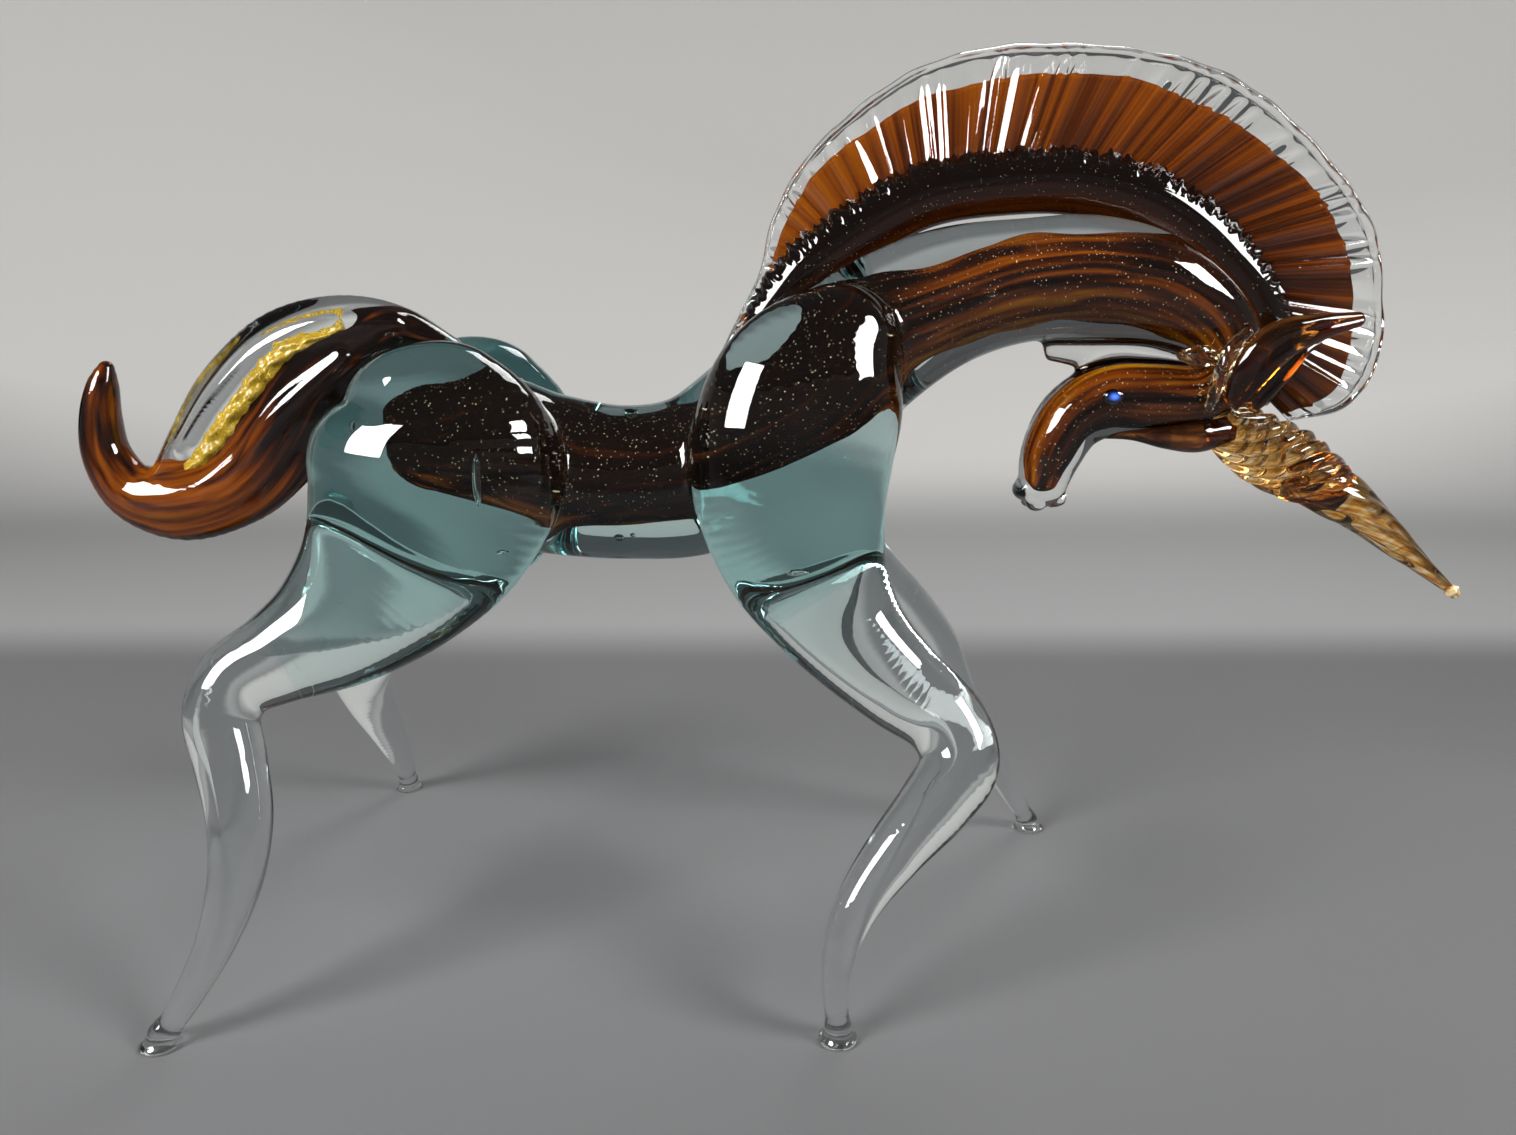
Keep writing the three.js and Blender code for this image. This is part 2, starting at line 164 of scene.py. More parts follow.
CORE = in_plane(
    (-66, 105, 8, 8),
    (-55, 104.5, 10.5, 10),
    (-43, 101.5, 9.5, 9.5),
    (-28, 100, 7.8, 8.5),
    (-12, 102, 8, 8.5),
    (7, 112.5, 8, 8.5),
    (21.5, 127.5, 7.4, 8),
    (38, 134.5, 6, 7),
    (54, 139.5, 5.6, 6.5),
    (70, 140.5, 5.6, 6.5),
    (84, 138, 5.4, 6),
    (95, 130.5, 4.6, 5.2),
    (98.2, 122, 4, 4.8),
    (92, 116.6, 4.2, 4.8),
    (82, 116.2, 4.4, 4.8),
    (73, 116, 4.2, 4.6),
    (66, 112, 3.8, 4.2),
    (61.5, 104, 3.2, 3.6),
    (60.4, 98.8, 2.2, 2.6),
)
# The stations of the spine, and of its core, where barrel turns to neck and neck to head.
WITHERS = 5
POLL = 12
# Flutes drawn along the tail, on its right side and then on both.
TAIL_FLUTES = [
    [
        (-74, -2.5, 131.5, 2, 2),
        (-88, -4, 130.5, 2.6, 2),
        (-100, -4, 125.5, 2.8, 2),
        (-110, -3.6, 116.5, 2.6, 2),
        (-119, -3, 105.5, 1.6, 1.6),
    ],
    [
        (-84, -4, 124, 1.8, 1.6),
        (-96, -5.2, 114, 2.4, 1.6),
        (-106, -4.6, 103, 2.4, 1.6),
        (-118, -3.6, 96, 1.8, 1.6),
        (-130, -2, 95.5, 1.2, 1.4),
    ],
]
TAIL_FLUTES += [[(x, 2 * MIDDLE - y, z, a, b) for x, y, z, a, b in line] for line in TAIL_FLUTES]
# The glass that runs together between the haunches and between the shoulders.
RUMP = ((-66, MIDDLE, 98), (17, 19, 15))
CHEST = ((8.5, MIDDLE, 96), (13, 18, 17))
# The crimped end of the muzzle, the dent in it, and the bubbles caught in the body: place and radii.
LIPS = [
    ((56.2, MIDDLE, 96.6), (1.9, 3.6, 2.2)),
    ((58.8, -0.6, 93.9), (2.1, 1.9, 1.7)),
    ((58.8, 4.6, 93.9), (2.1, 1.9, 1.7)),
    ((63.4, MIDDLE, 94.6), (2.4, 3.2, 1.8)),
]
MOUTH = ((61.2, MIDDLE, 91.9), (0.9, 5, 1.6))
BUBBLES = [
    ((-26, -2.5, 111.6), (1.5, 1.3, 1.2)),
    ((-28.5, -8, 88.8), (1.3, 1, 0.9)),
    ((-25.6, -8, 89.4), (0.8, 0.8, 0.7)),
    ((-54, -21, 101.5), (1.0, 0.8, 5.2)),
    ((-76, -21, 111), (0.7, 0.7, 1.6)),
    ((-51, -19, 88), (1.6, 0.6, 0.7)),
    ((8, -22, 84), (2.2, 0.7, 0.9)),
    ((46, -5, 137), (1.8, 0.8, 0.8)),
]
# Where each foot stands: x and y.
FEET = {
    "right_hind_foot": (-110.5, -50),
    "right_fore_foot": (14.9, -48.4),
    "left_hind_foot": (-101, 68),
    "left_fore_foot": (72, 41.6),
}
# From these numbers to the frame's, in mm, by where one foot stands.
SHIFT = sum(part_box("right_fore_foot"), Vector()) / 2 / MM - Vector((*FEET["right_fore_foot"], 0))
SHIFT.z = 0

# ---------------------------------------------------------------- curves


def smooth_line(stations, spacing, marked=False):
    """Points every spacing mm or so along a Catmull-Rom line through the stations.

    marked also gives the row where each station comes."""
    s = np.array(stations, float)
    s = np.vstack([2 * s[0] - s[1], s, 2 * s[-1] - s[-2]])
    rows, marks = [], []
    for a, b, c, d in zip(s, s[1:], s[2:], s[3:]):
        # Centripetal knots keep the line from looping where stations crowd together.
        steps = [math.sqrt(np.linalg.norm(q[:3] - p[:3])) for p, q in ((a, b), (b, c), (c, d))]
        knots = np.cumsum([0] + steps)
        count = max(2, round(np.linalg.norm(c[:3] - b[:3]) / spacing))
        marks.append(len(rows))
        for t in np.linspace(knots[1], knots[2], count, endpoint=False):
            ab = between(a, b, knots[0], knots[1], t)
            bc = between(b, c, knots[1], knots[2], t)
            cd = between(c, d, knots[2], knots[3], t)
            abc = between(ab, bc, knots[0], knots[2], t)
            bcd = between(bc, cd, knots[1], knots[3], t)
            rows.append(between(abc, bcd, knots[1], knots[2], t))
    marks.append(len(rows))
    rows.append(s[-2])
    return (np.array(rows), marks) if marked else np.array(rows)


def between(p, q, low, high, t):
    """p where t is low, q where it is high, and in proportion between."""
    return ((high - t) * p + (t - low) * q) / (high - low)


# ---------------------------------------------------------------- the fused glass, as a distance field

VOXEL = 0.7  # mm
MARGIN = 5.0  # mm around each rod where the field is worked out
LOW = np.array([-152.0, -60.0, -3.0])  # mm, the corners of the block of voxels
HIGH = np.array([112.0, 80.0, 160.0])
SIZE = np.ceil((HIGH - LOW) / VOXEL).astype(int)
FAR = 10.0  # mm, the distance given to what is out of reach
ROD_STEP = 1.5  # mm between the sections of a rod's field
# Fillets where one gather is fused onto another, in mm.
BODY_FILLET = 3
LIMB_FILLET = 2.5
FILL_FILLET = 5
FLUTE_FILLET = 1.5
ANKLE_FILLET = 2
LIP_FILLET = 1.0
# A foot, in mm: the block it is drawn in, its thin skirt, and the drop above that.
FOOT_REACH = 9
FOOT_BELOW = 2
SKIRT_HEIGHT = 0.4
SKIRT_RADII = (3.9, 1.15)
DROP_HEIGHT = 2.2
DROP_RADIUS = 2.35
SKIRT_FILLET = 1.6


def window(low, high):
    """The block of voxels that holds a box, as three slices."""
    a = np.clip(np.floor((low - LOW) / VOXEL).astype(int), 0, SIZE)
    b = np.clip(np.ceil((high - LOW) / VOXEL).astype(int) + 1, 0, SIZE)
    return tuple(slice(i, j) for i, j in zip(a, b))


def places(box):
    """The voxel coordinates in a window, in mm, as three arrays that broadcast."""
    axes = [LOW[k] + VOXEL * np.arange(box[k].start, box[k].stop, dtype=np.float32) for k in range(3)]
    return np.meshgrid(*axes, indexing="ij", sparse=True)


def ellipsoid_distance(offsets, radii):
    """How far outside an ellipsoid some places are, nearly, by their offsets from its middle."""
    inner = np.sqrt(sum((o / r) ** 2 for o, r in zip(offsets, radii)))
    outer = np.sqrt(sum((o / (r * r)) ** 2 for o, r in zip(offsets, radii)))
    return inner * (inner - 1) / np.maximum(outer, 1e-6)


def rod_field(stations):
    """The distance field of a bent rod of elliptical section, and the window it fills."""
    line = smooth_line(stations, ROD_STEP)
    reach = line[:, 3:].max() + MARGIN
    box = window(line[:, :3].min(0) - reach, line[:, :3].max(0) + reach)
    field = np.full([s.stop - s.start for s in box], FAR, np.float32)
    for a, b in zip(line, line[1:]):
        radius = max(a[3:].max(), b[3:].max()) + MARGIN
        near = window(np.minimum(a, b)[:3] - radius, np.maximum(a, b)[:3] + radius)
        x, y, z = places(near)
        run = b[:3] - a[:3]
        length = np.linalg.norm(run)
        along = run / length
        across = np.cross(along, (0, 1, 0))
        across /= np.linalg.norm(across)
        deep = np.cross(across, along)
        offset = (x - a[0], y - a[1], z - a[2])
        place = sum(o * t for o, t in zip(offset, along)) / length
        share = np.clip(place, 0, 1)
        parts = (
            (place - share) * length,
            sum(o * t for o, t in zip(offset, across)),
            sum(o * t for o, t in zip(offset, deep)),
        )
        girth = a[3] + (b[3] - a[3]) * share
        depth = a[4] + (b[4] - a[4]) * share
        distance = ellipsoid_distance(parts, (np.minimum(girth, depth), girth, depth))
        inside = tuple(slice(n.start - w.start, n.stop - w.start) for n, w in zip(near, box))
        np.minimum(field[inside], distance, out=field[inside])
    return field, box


def drop_field(at, radii):
    """The distance field of a small ellipsoid of glass or air."""
    at, radii = np.array(at), np.array(radii)
    box = window(at - radii - MARGIN, at + radii + MARGIN)
    offsets = [axis - middle for axis, middle in zip(places(box), at)]
    return ellipsoid_distance(offsets, radii), box


def joined(one, other, fillet):
    """Two fields as one, with a smooth fillet of about this radius."""
    bend = np.maximum(fillet - np.abs(one - other), 0) / fillet
    return np.minimum(one, other) - bend * bend * fillet / 4


def fuse(glass, field, box, fillet):
    """Joins a field into the glass."""
    glass[box] = joined(glass[box], field, fillet)


def hollow(glass, field, box):
    """Takes a field out of the glass, which leaves a bubble or a dent."""
    glass[box] = np.maximum(glass[box], -field)


def foot_field(x, y):
    """A drop of glass pressed flat on the table, with a thin turned-out skirt."""
    low = np.array([x - FOOT_REACH, y - FOOT_REACH, -FOOT_BELOW])
    high = np.array([x + FOOT_REACH, y + FOOT_REACH, FOOT_REACH])
    box = window(low, high)
    px, py, pz = places(box)
    out = np.hypot(px - x, py - y)
    skirt = ellipsoid_distance((out, pz - SKIRT_HEIGHT), SKIRT_RADII)
    drop = np.sqrt(out**2 + (pz - DROP_HEIGHT) ** 2) - DROP_RADIUS
    return joined(skirt, drop, SKIRT_FILLET), box


glass = np.full(SIZE, FAR, np.float32)
for stations, fillet in (
    (SPINE, BODY_FILLET),
    (RIGHT_HIND, LIMB_FILLET),
    (LEFT_HIND, LIMB_FILLET),
    (RIGHT_FORE, LIMB_FILLET),
    (LEFT_FORE, LIMB_FILLET),
    (TAIL, BODY_FILLET),
    (THROAT, LIMB_FILLET),
):
    fuse(glass, *rod_field(stations), fillet)
for at, radii in (RUMP, CHEST):
    fuse(glass, *drop_field(at, radii), FILL_FILLET)
for stations in TAIL_FLUTES:
    fuse(glass, *rod_field(stations), FLUTE_FILLET)
for x, y in FEET.values():
    fuse(glass, *foot_field(x, y), ANKLE_FILLET)
for at, radii in LIPS:
    fuse(glass, *drop_field(at, radii), LIP_FILLET)
for at, radii in [MOUTH] + BUBBLES:
    hollow(glass, *drop_field(at, radii))
# The feet stand flat on the table.
height = LOW[2] + VOXEL * np.arange(SIZE[2])
glass = np.maximum(glass, -height[None, None, :].astype(np.float32))

slope = np.stack(np.gradient(glass, VOXEL), axis=-1).astype(np.float32)


def sample(field, points):
    """A field's values at some points, in mm, read between the voxels."""
    place = (points - LOW) / VOXEL
    corner = np.clip(np.floor(place).astype(int), 0, SIZE - 2)
    share = (place - corner).astype(np.float32)
    total = 0
    for dx in (0, 1):
        for dy in (0, 1):
            for dz in (0, 1):
                step = np.array([dx, dy, dz])
                weight = np.prod(np.where(step, share, 1 - share), axis=1)
                i, j, k = (corner + step).T
                value = field[i, j, k]
                total = total + (value.T * weight).T
    return total


def skin(field):
    """The surface where a field is zero, as points in mm and four-sided faces."""
    grid = openvdb.FloatGrid(FAR)
    grid.copyFromArray(field)
    points, quads = grid.convertToQuads(0.0)
    return points.astype(float) * VOXEL + LOW, quads


NEWTON_STEPS = 3
LEAST_STEEP = 0.2  # keeps a step short where the field is nearly level

points, quads = skin(glass)
# Each step moves the points nearer to where the field is truly zero.
for _ in range(NEWTON_STEPS):
    normal = sample(slope, points)
    steep = np.maximum((normal**2).sum(1), LEAST_STEEP)
    points -= normal * (sample(glass, points) / steep)[:, None]

# ---------------------------------------------------------------- dividing it into pieces

SLIT = 0.02  # mm between two cut faces
ON_PLANE = 1e-5  # mm, how near a plane a point is taken to be on it
THIGH = 5  # the station where a gather is drawn out into its leg
# Dividing planes: a point on each in mm, and the way that its front faces.
RIGHT_SIDE = ((0, -15.3, 0), (0, -1, 0))
LEFT_SIDE = ((0, 19.5, 0), (0, 1, 0))
WAIST = ((-30, 0, 0), (-1, 0, 0))
ANKLE = ((0, 0, 4), (0, 0, -1))
TAIL_ROOT = ((-72, 0, 128), (-0.8, 0, 0.6))
NECK_ROOT = ((6, 0, 112.5), (1, 0, 1))
NECK_MIDDLE = ((54, 0, 0), (1, 0, 0))
NECK_END = ((0, 0, 125.3), (0, 0, -1))
HIND_NAMES = ("haunch", "hind_leg", "hind_foot")
FORE_NAMES = ("shoulder", "foreleg", "fore_foot")


def to_bmesh(points, quads):
    """The skin as one body, with a layer that marks its cut faces."""
    shape = bpy.data.meshes.new("skin")
    shape.from_pydata(points, [], quads)
    bm = bmesh.new()
    bm.from_mesh(shape)
    bpy.data.meshes.remove(shape)
    bm.faces.layers.float.new("fused")
    return bm


def half(bm, point, normal):
    """The part of a closed body in front of a plane, with its cut face marked as fused glass."""
    normal = Vector(normal).normalized()
    cut = bmesh.ops.bisect_plane(
        bm,
        geom=bm.verts[:] + bm.edges[:] + bm.faces[:],
        dist=ON_PLANE,
        plane_co=Vector(point) + normal * SLIT / 2,
        plane_no=normal,
        clear_inner=True,
    )
    edges = [e for e in cut["geom_cut"] if isinstance(e, bmesh.types.BMEdge)]
    caps = bmesh.ops.edgeloop_fill(bm, edges=edges)["faces"]
    fused = bm.faces.layers.float["fused"]
    for face in caps:
        face[fused] = 1.0
        face.normal_update()
        if face.normal.dot(normal) > 0:
            face.normal_flip()
    return bm


def divide(bm, point, normal):
    """Cuts a body in two: the part in front of the plane, and the rest."""
    front = half(bm.copy(), point, normal)
    back = half(bm, point, [-n for n in normal])
    return front, back


def station(stations, index):
    """A station's place, and the way the rod runs there."""
    s = np.array(stations)[:, :3]
    return s[index], s[index + 1] - s[index - 1]


def limb(bm, stations):
    """A limb cut into its gather, leg and foot."""
    leg, gather = divide(bm, *station(stations, THIGH))
    foot, leg = divide(leg, *ANKLE)
    return gather, leg, foot


pieces = {}
body = to_bmesh(points, quads)
right, body = divide(body, *RIGHT_SIDE)
left, body = divide(body, *LEFT_SIDE)
right_hind, right_fore = divide(right, *WAIST)
left_hind, left_fore = divide(left, *WAIST)
for side, names, block, stations in (
    ("right", HIND_NAMES, right_hind, RIGHT_HIND),
    ("right", FORE_NAMES, right_fore, RIGHT_FORE),
    ("left", HIND_NAMES, left_hind, LEFT_HIND),
    ("left", FORE_NAMES, left_fore, LEFT_FORE),
):
    for name, cut_piece in zip(names, limb(block, stations)):
        pieces[f"{side}_{name}"] = cut_piece
pieces["tail_casing"], body = divide(body, *TAIL_ROOT)
neck, pieces["barrel_casing"] = divide(body, *NECK_ROOT)
arch, pieces["neck_base"] = divide(neck, *NECK_MIDDLE)
pieces["head_casing"], pieces["neck_arch"] = divide(arch, *NECK_END)


def finish_glass(name, bm):
    """A Blender object from a piece of the fused glass, its normals read from the field.

    Its cut faces keep their own flat normals."""
    shape = bpy.data.meshes.new(name)
    bm.to_mesh(shape)
    bm.free()
    count = len(shape.vertices)
    co = np.empty(count * 3)
    shape.vertices.foreach_get("co", co)
    co = co.reshape(-1, 3)
    normals = sample(slope, co)
    normals /= np.linalg.norm(normals, axis=1)[:, None] + 1e-9
    fused = np.empty(len(shape.polygons))
    shape.attributes["fused"].data.foreach_get("value", fused)
    corner_vertex = np.empty(len(shape.loops), int)
    shape.loops.foreach_get("vertex_index", corner_vertex)
    totals = np.empty(len(shape.polygons), int)
    shape.polygons.foreach_get("loop_total", totals)
    flat = np.empty(len(shape.polygons) * 3)
    shape.polygons.foreach_get("normal", flat)
    on_cap = np.repeat(fused > 0.5, totals)
    corner_normals = normals[corner_vertex]
    corner_normals[on_cap] = np.repeat(flat.reshape(-1, 3), totals, axis=0)[on_cap]
    shape.vertices.foreach_set("co", ((co + np.array(SHIFT)) * MM).ravel())
    shape.polygons.foreach_set("use_smooth", np.ones(len(shape.polygons), bool))
    shape.normals_split_custom_set(corner_normals.tolist())
    ob = bpy.data.objects.new(name, shape)
    bpy.context.scene.collection.objects.link(ob)
    return ob


pieces_made = {name: finish_glass(name, bm) for name, bm in pieces.items()}

# ---------------------------------------------------------------- coloured glass inside and on top

MANE_ROPE = in_plane(
    (1, 132.5, 3.5, 4.5),
    (8.5, 140.5, 5.5, 6),
    (19, 148.5, 6, 6.5),
    (33.5, 156, 6.2, 7),
    (49, 158.5, 6.2, 7),
    (65, 158.5, 6.2, 7),
    (79.5, 154.5, 6.2, 7),
    (92, 146.3, 6, 7),
    (101, 136.5, 5.5, 6.5),
    (105.5, 126, 5, 6),
    (104.5, 118, 4, 5),
)
# The mane's outer edge, as x, z points from the withers to the poll.
RIM = [
    (-8, 125), (-4, 133), (0, 141), (2.6, 152), (8.4, 162.6), (18.3, 172),
    (31.9, 181), (44, 184.4), (59.3, 185.2), (73, 184.8), (87, 182), (101.5, 174.8),
    (116, 162.5), (126.5, 149), (129.5, 137.5), (129.4, 124), (123.5, 114), (112, 110.8),
]
HORN_COLLAR = in_plane(
    (98, 110.5, 5.3, 5.3),
    (105, 106, 6.9, 6.5),
    (113, 102, 7.1, 6.7),
    (120.5, 98.6, 5.5, 5.5),
)
HORN_SPIKE = in_plane(
    (117, 98.5, 5.0, 4.8),
    (124, 95, 5.4, 5.0),
    (131, 90.3, 4.1, 4.0),
    (140.5, 82.6, 2.5, 2.5),
    (150, 75, 1.0, 1.0),
)
HORN_TIP = in_plane(
    (150.2, 74.8, 1.1, 1.1),
    (150.9, 74.2, 1.5, 1.5),
    (151.5, 73.7, 1.1, 1.1),
)
HORN_TRAIL = [
    (70, 0.5, 108.2, 0.7, 0.8),
    (78, -0.5, 108.6, 1.5, 1.8),
    (85, -1, 108.2, 2.9, 3.2),
    (91, -1, 108.2, 3.6, 4.0),
    (97, 0, 109, 2.6, 3.2),
]
EAR = [
    (95.8, -8.2, 116.5, 2.6, 2.0),
    (98, -9.6, 122, 4.1, 2.6),
    (102, -10.2, 127, 4.3, 2.8),
    (109.5, -9.6, 130, 2.9, 2.3),
    (118.2, -8.6, 131.8, 1.5, 1.5),
]
EAR_RIM = [
    (91, -7.6, 114.5, 0.9, 0.9),
    (91.8, -9.2, 120, 1.5, 1.3),
    (93.2, -10.2, 125.6, 1.6, 1.4),
    (96, -10.6, 129.4, 1.0, 1.0),
]
FORELOCK = [
    (100.5, -6.5, 116, 2.2, 2.0),
    (104.5, -7.2, 121.4, 2.5, 2.2),
    (108.5, -6.8, 125.6, 1.8, 1.6),
    (112, -6.2, 127.4, 0.9, 0.9),
]
THROAT_BEAD = [
    (85.6, -4.6, 124.8, 1.0, 1.0),
    (87.5, -5.0, 124.7, 2.0, 2.1),
    (90, -5.1, 124.4, 2.3, 2.4),
    (92.2, -4.6, 124.2, 1.2, 1.3),
]
EYE = {"at": (72.1, -5.8, 116.5), "length": 2.2, "height": 1.6, "bulge": 1.1}


def across_from(stations):
    """The same stations on the other side of the animal."""
    return [(x, 2 * MIDDLE - y, *rest) for x, y, *rest in stations]


def leaning(stations, shift, girth_share, depth_share):
    """A rod inside another one, moved across it towards its underside, by shares of its girth."""
    line = np.array(stations, float)
    run = np.gradient(line[:, :3], axis=0)
    side = np.cross(run, (0, 1, 0))
    side /= np.linalg.norm(side, axis=1)[:, None]
    line[:, :3] += side * line[:, 3:4] * shift
    line[:, 3] *= girth_share
    line[:, 4] *= depth_share
    return [tuple(row) for row in line]


# The amber starts as a thread, lies low in the tail as far as the curl, and nearly fills the curl.
TAIL_CURL_AT = 6
TAIL_THREAD = [(-66, MIDDLE, 127.4, 0.7, 1.0), (-75, MIDDLE, 130, 2.4, 3.2)]
LOW_AMBER = leaning(TAIL, 0.36, 0.58, 0.72)
CURL_AMBER = leaning(TAIL, 0.06, 0.88, 0.86)
TAIL_PLUME = TAIL_THREAD + LOW_AMBER[len(TAIL_THREAD) : TAIL_CURL_AT] + CURL_AMBER[TAIL_CURL_AT:]
# The gold lies high in the tail, and is thin at both ends.
TAIL_GOLD = leaning(TAIL, -0.24, 0.2, 0.55)[2:7]
TAIL_GOLD[0] = (*TAIL_GOLD[0][:3], 0.8, 1.8)
TAIL_GOLD[-1] = (*TAIL_GOLD[-1][:3], 0.8, 1.4)
ROUND_STEPS = 8
TIP_SHARE = 0.02  # of its radius is left at a rounded end


def rounded(line):
    """The line with quarter-round ends added to its radii, so that a rod closes to a point."""
    return np.vstack([round_end(line[0], line[1])[::-1], line, round_end(line[-1], line[-2])])


def round_end(last, before):
    """The rows that close a line past its last one, each smaller than the one before."""
    way = last[:3] - before[:3]
    way = way / np.linalg.norm(way) * last[3:].min()
    rise = np.linspace(0, np.pi / 2, ROUND_STEPS + 1)[1:]
    rows = np.tile(last, (ROUND_STEPS, 1))
    rows[:, :3] += way * np.sin(rise)[:, None]
    rows[:, 3:] *= np.maximum(np.cos(rise), TIP_SHARE)[:, None]
    return rows


def rings(line, sides, groove, twist):
    """Points around each row of a smooth line, with the same points on the straightened rod."""
    xyz, girth, depth = line[:, :3], line[:, 3], line[:, 4]
    run = np.gradient(xyz, axis=0)
    along = run / np.linalg.norm(run, axis=1)[:, None]
    across = np.cross(along, (0, 1, 0))
    across /= np.linalg.norm(across, axis=1)[:, None]
    deep = np.cross(across, along)
    far = np.concatenate([[0], np.cumsum(np.linalg.norm(np.diff(xyz, axis=0), axis=1))])[:, None]
    turn = np.linspace(0, 2 * np.pi, sides, endpoint=False)[None, :]
    swell = groove(far, turn) if groove else 1
    a = girth[:, None] * np.cos(turn) * swell
    b = depth[:, None] * np.sin(turn) * swell
    ring = xyz[:, None] + a[..., None] * across[:, None] + b[..., None] * deep[:, None]
    spin = turn - twist * far
    size = np.hypot(a, b)
    straight = (np.broadcast_to(far, a.shape), size * np.cos(spin), size * np.sin(spin))
    return ring, np.stack(straight, axis=-1)


def grid_faces(rows, sides):
    """Quads around a tube, then a polygon at each end."""
    at = np.arange(rows * sides).reshape(rows, sides)
    after = np.roll(at, -1, axis=1)
    quads = np.stack([at[:-1], at[1:], after[1:], after[:-1]], axis=-1).reshape(-1, 4)
    return quads.tolist() + [at[0].tolist(), at[-1][::-1].tolist()]


def make(name, points, faces, straight):
    """A smooth Blender mesh from points in mm, carrying each point's place on the straight rod."""
    shape = bpy.data.meshes.new(name)
    shape.from_pydata(((np.asarray(points) + np.array(SHIFT)) * MM).tolist(), [], faces)
    smooth = np.ones(len(shape.polygons), bool)
    smooth[-2:] = False
    shape.polygons.foreach_set("use_smooth", smooth)
    # The last two polygons are the flat ends, which meet the sides at a sharp edge.
    for end in shape.polygons[-2:]:
        for corner in end.loop_indices:
            shape.edges[shape.loops[corner].edge_index].use_edge_sharp = True
    layer = shape.attributes.new("straight", "FLOAT_VECTOR", "POINT")
    layer.data.foreach_set("vector", np.asarray(straight, float).ravel())
    shape.validate()
    ob = bpy.data.objects.new(name, shape)
    bpy.context.scene.collection.objects.link(ob)
    return ob


def rod(stations, first=0, last=None, spacing=0.7, sides=64, groove=None, twist=0.0):
    """A bent rod, or the stretch of it between two stations: its points, faces and straight places."""
    line, marks = smooth_line(stations, spacing, marked=True)
    ring, straight = rings(rounded(line), sides, groove, twist)
    start = marks[first] + ROUND_STEPS if first else 0
    end = marks[last] + ROUND_STEPS + 1 if last else len(ring)
    ring, straight = ring[start:end], straight[start:end]
    return ring.reshape(-1, 3), grid_faces(len(ring), sides), straight.reshape(-1, 3)


def sweep(name, stations, **shape):
    """A Blender object in the shape of a bent rod."""
    return make(name, *rod(stations, **shape))


def noise(seed, *waves):
    """A smooth wandering function of two numbers: a sum of a few sines of fixed phase."""
    rng = np.random.default_rng(seed)
    terms = [(f, g, rng.uniform(0, 2 * np.pi), h) for f, g, h in waves]
    return lambda u, v: sum(h * np.sin(f * u + g * v + p) for f, g, p, h in terms)


# Each wave: how fast it turns along a rod, how many times round the rod, and how high it is.
wander = noise(3, (0.11, 1, 0.05), (0.23, -2, 0.035), (0.41, 3, 0.02))
flutes = noise(4, (0.06, 5, 0.05), (0.1, -7, 0.04), (0.05, 11, 0.03), (0.16, 3, 0.04))
knobs = noise(8, (1.9, 3, 0.06), (3.1, -4, 0.05), (0.7, 2, 0.05), (4.3, 1, 0.05), (5.9, 6, 0.03))
crumple = noise(9, (1.3, 3, 0.06), (2.1, -5, 0.05), (0.5, 7, 0.06))


def soft_groove(u, v):
    """The gentle swells of a rod drawn by hand. u is the way along it in mm, and v the turn."""
    return 1 + wander(u, v)


def fluted_groove(u, v):
    """Shallow flutes along a rod."""
    return 1 + flutes(u, v)


def crumpled_groove(u, v):
    """Small lumps all over."""
    return 1 + crumple(u, v)


RIDGE_EDGE = 0.4  # the cosine of the turn from a rope's top at which its knobs end
KNOB_LIFT = 0.06


def rope_groove(u, v):
    """Smooth below, and pinched into knobs along its top ridge."""
    ridge = np.clip((np.cos(v) - RIDGE_EDGE) / (1 - RIDGE_EDGE), 0, 1)
    return 1 + 0.03 * wander(u, v) + ridge * (knobs(u, v) + KNOB_LIFT)


OUTER_FACE = 1.5 * np.pi
CREASE_WIDTH = 0.35
CREASE_DEPTH = 0.22


def folded_groove(u, v):
    """A crease along the outer face."""
    crease = np.exp(-(((v - OUTER_FACE) / CREASE_WIDTH) ** 2))
    return 1 - CREASE_DEPTH * crease + 0.5 * wander(u, v)


COIL_LEVEL = 0.6  # how high on a coil's ridge the rod's own radius comes
COIL_WOBBLE = 8


def coils(pitch, depth, strands):
    """Rounded ridges that wind around a rod, each strand once every pitch mm."""

    def groove(u, v):
        turns = strands * (v - 2 * np.pi * u / pitch) + COIL_WOBBLE * wander(u, v)
        return 1 + depth * (np.abs(np.cos(turns / 2)) - COIL_LEVEL) + 0.6 * wander(u, v)

    return groove


COLLAR_PITCH = 42  # mm in which a coil winds once round
SPIKE_PITCH = 90
COLLAR = {"groove": coils(COLLAR_PITCH, 0.17, 9), "twist": 2 * math.pi / COLLAR_PITCH}
SPIKE = {"groove": coils(SPIKE_PITCH, 0.12, 5), "twist": 2 * math.pi / SPIKE_PITCH}
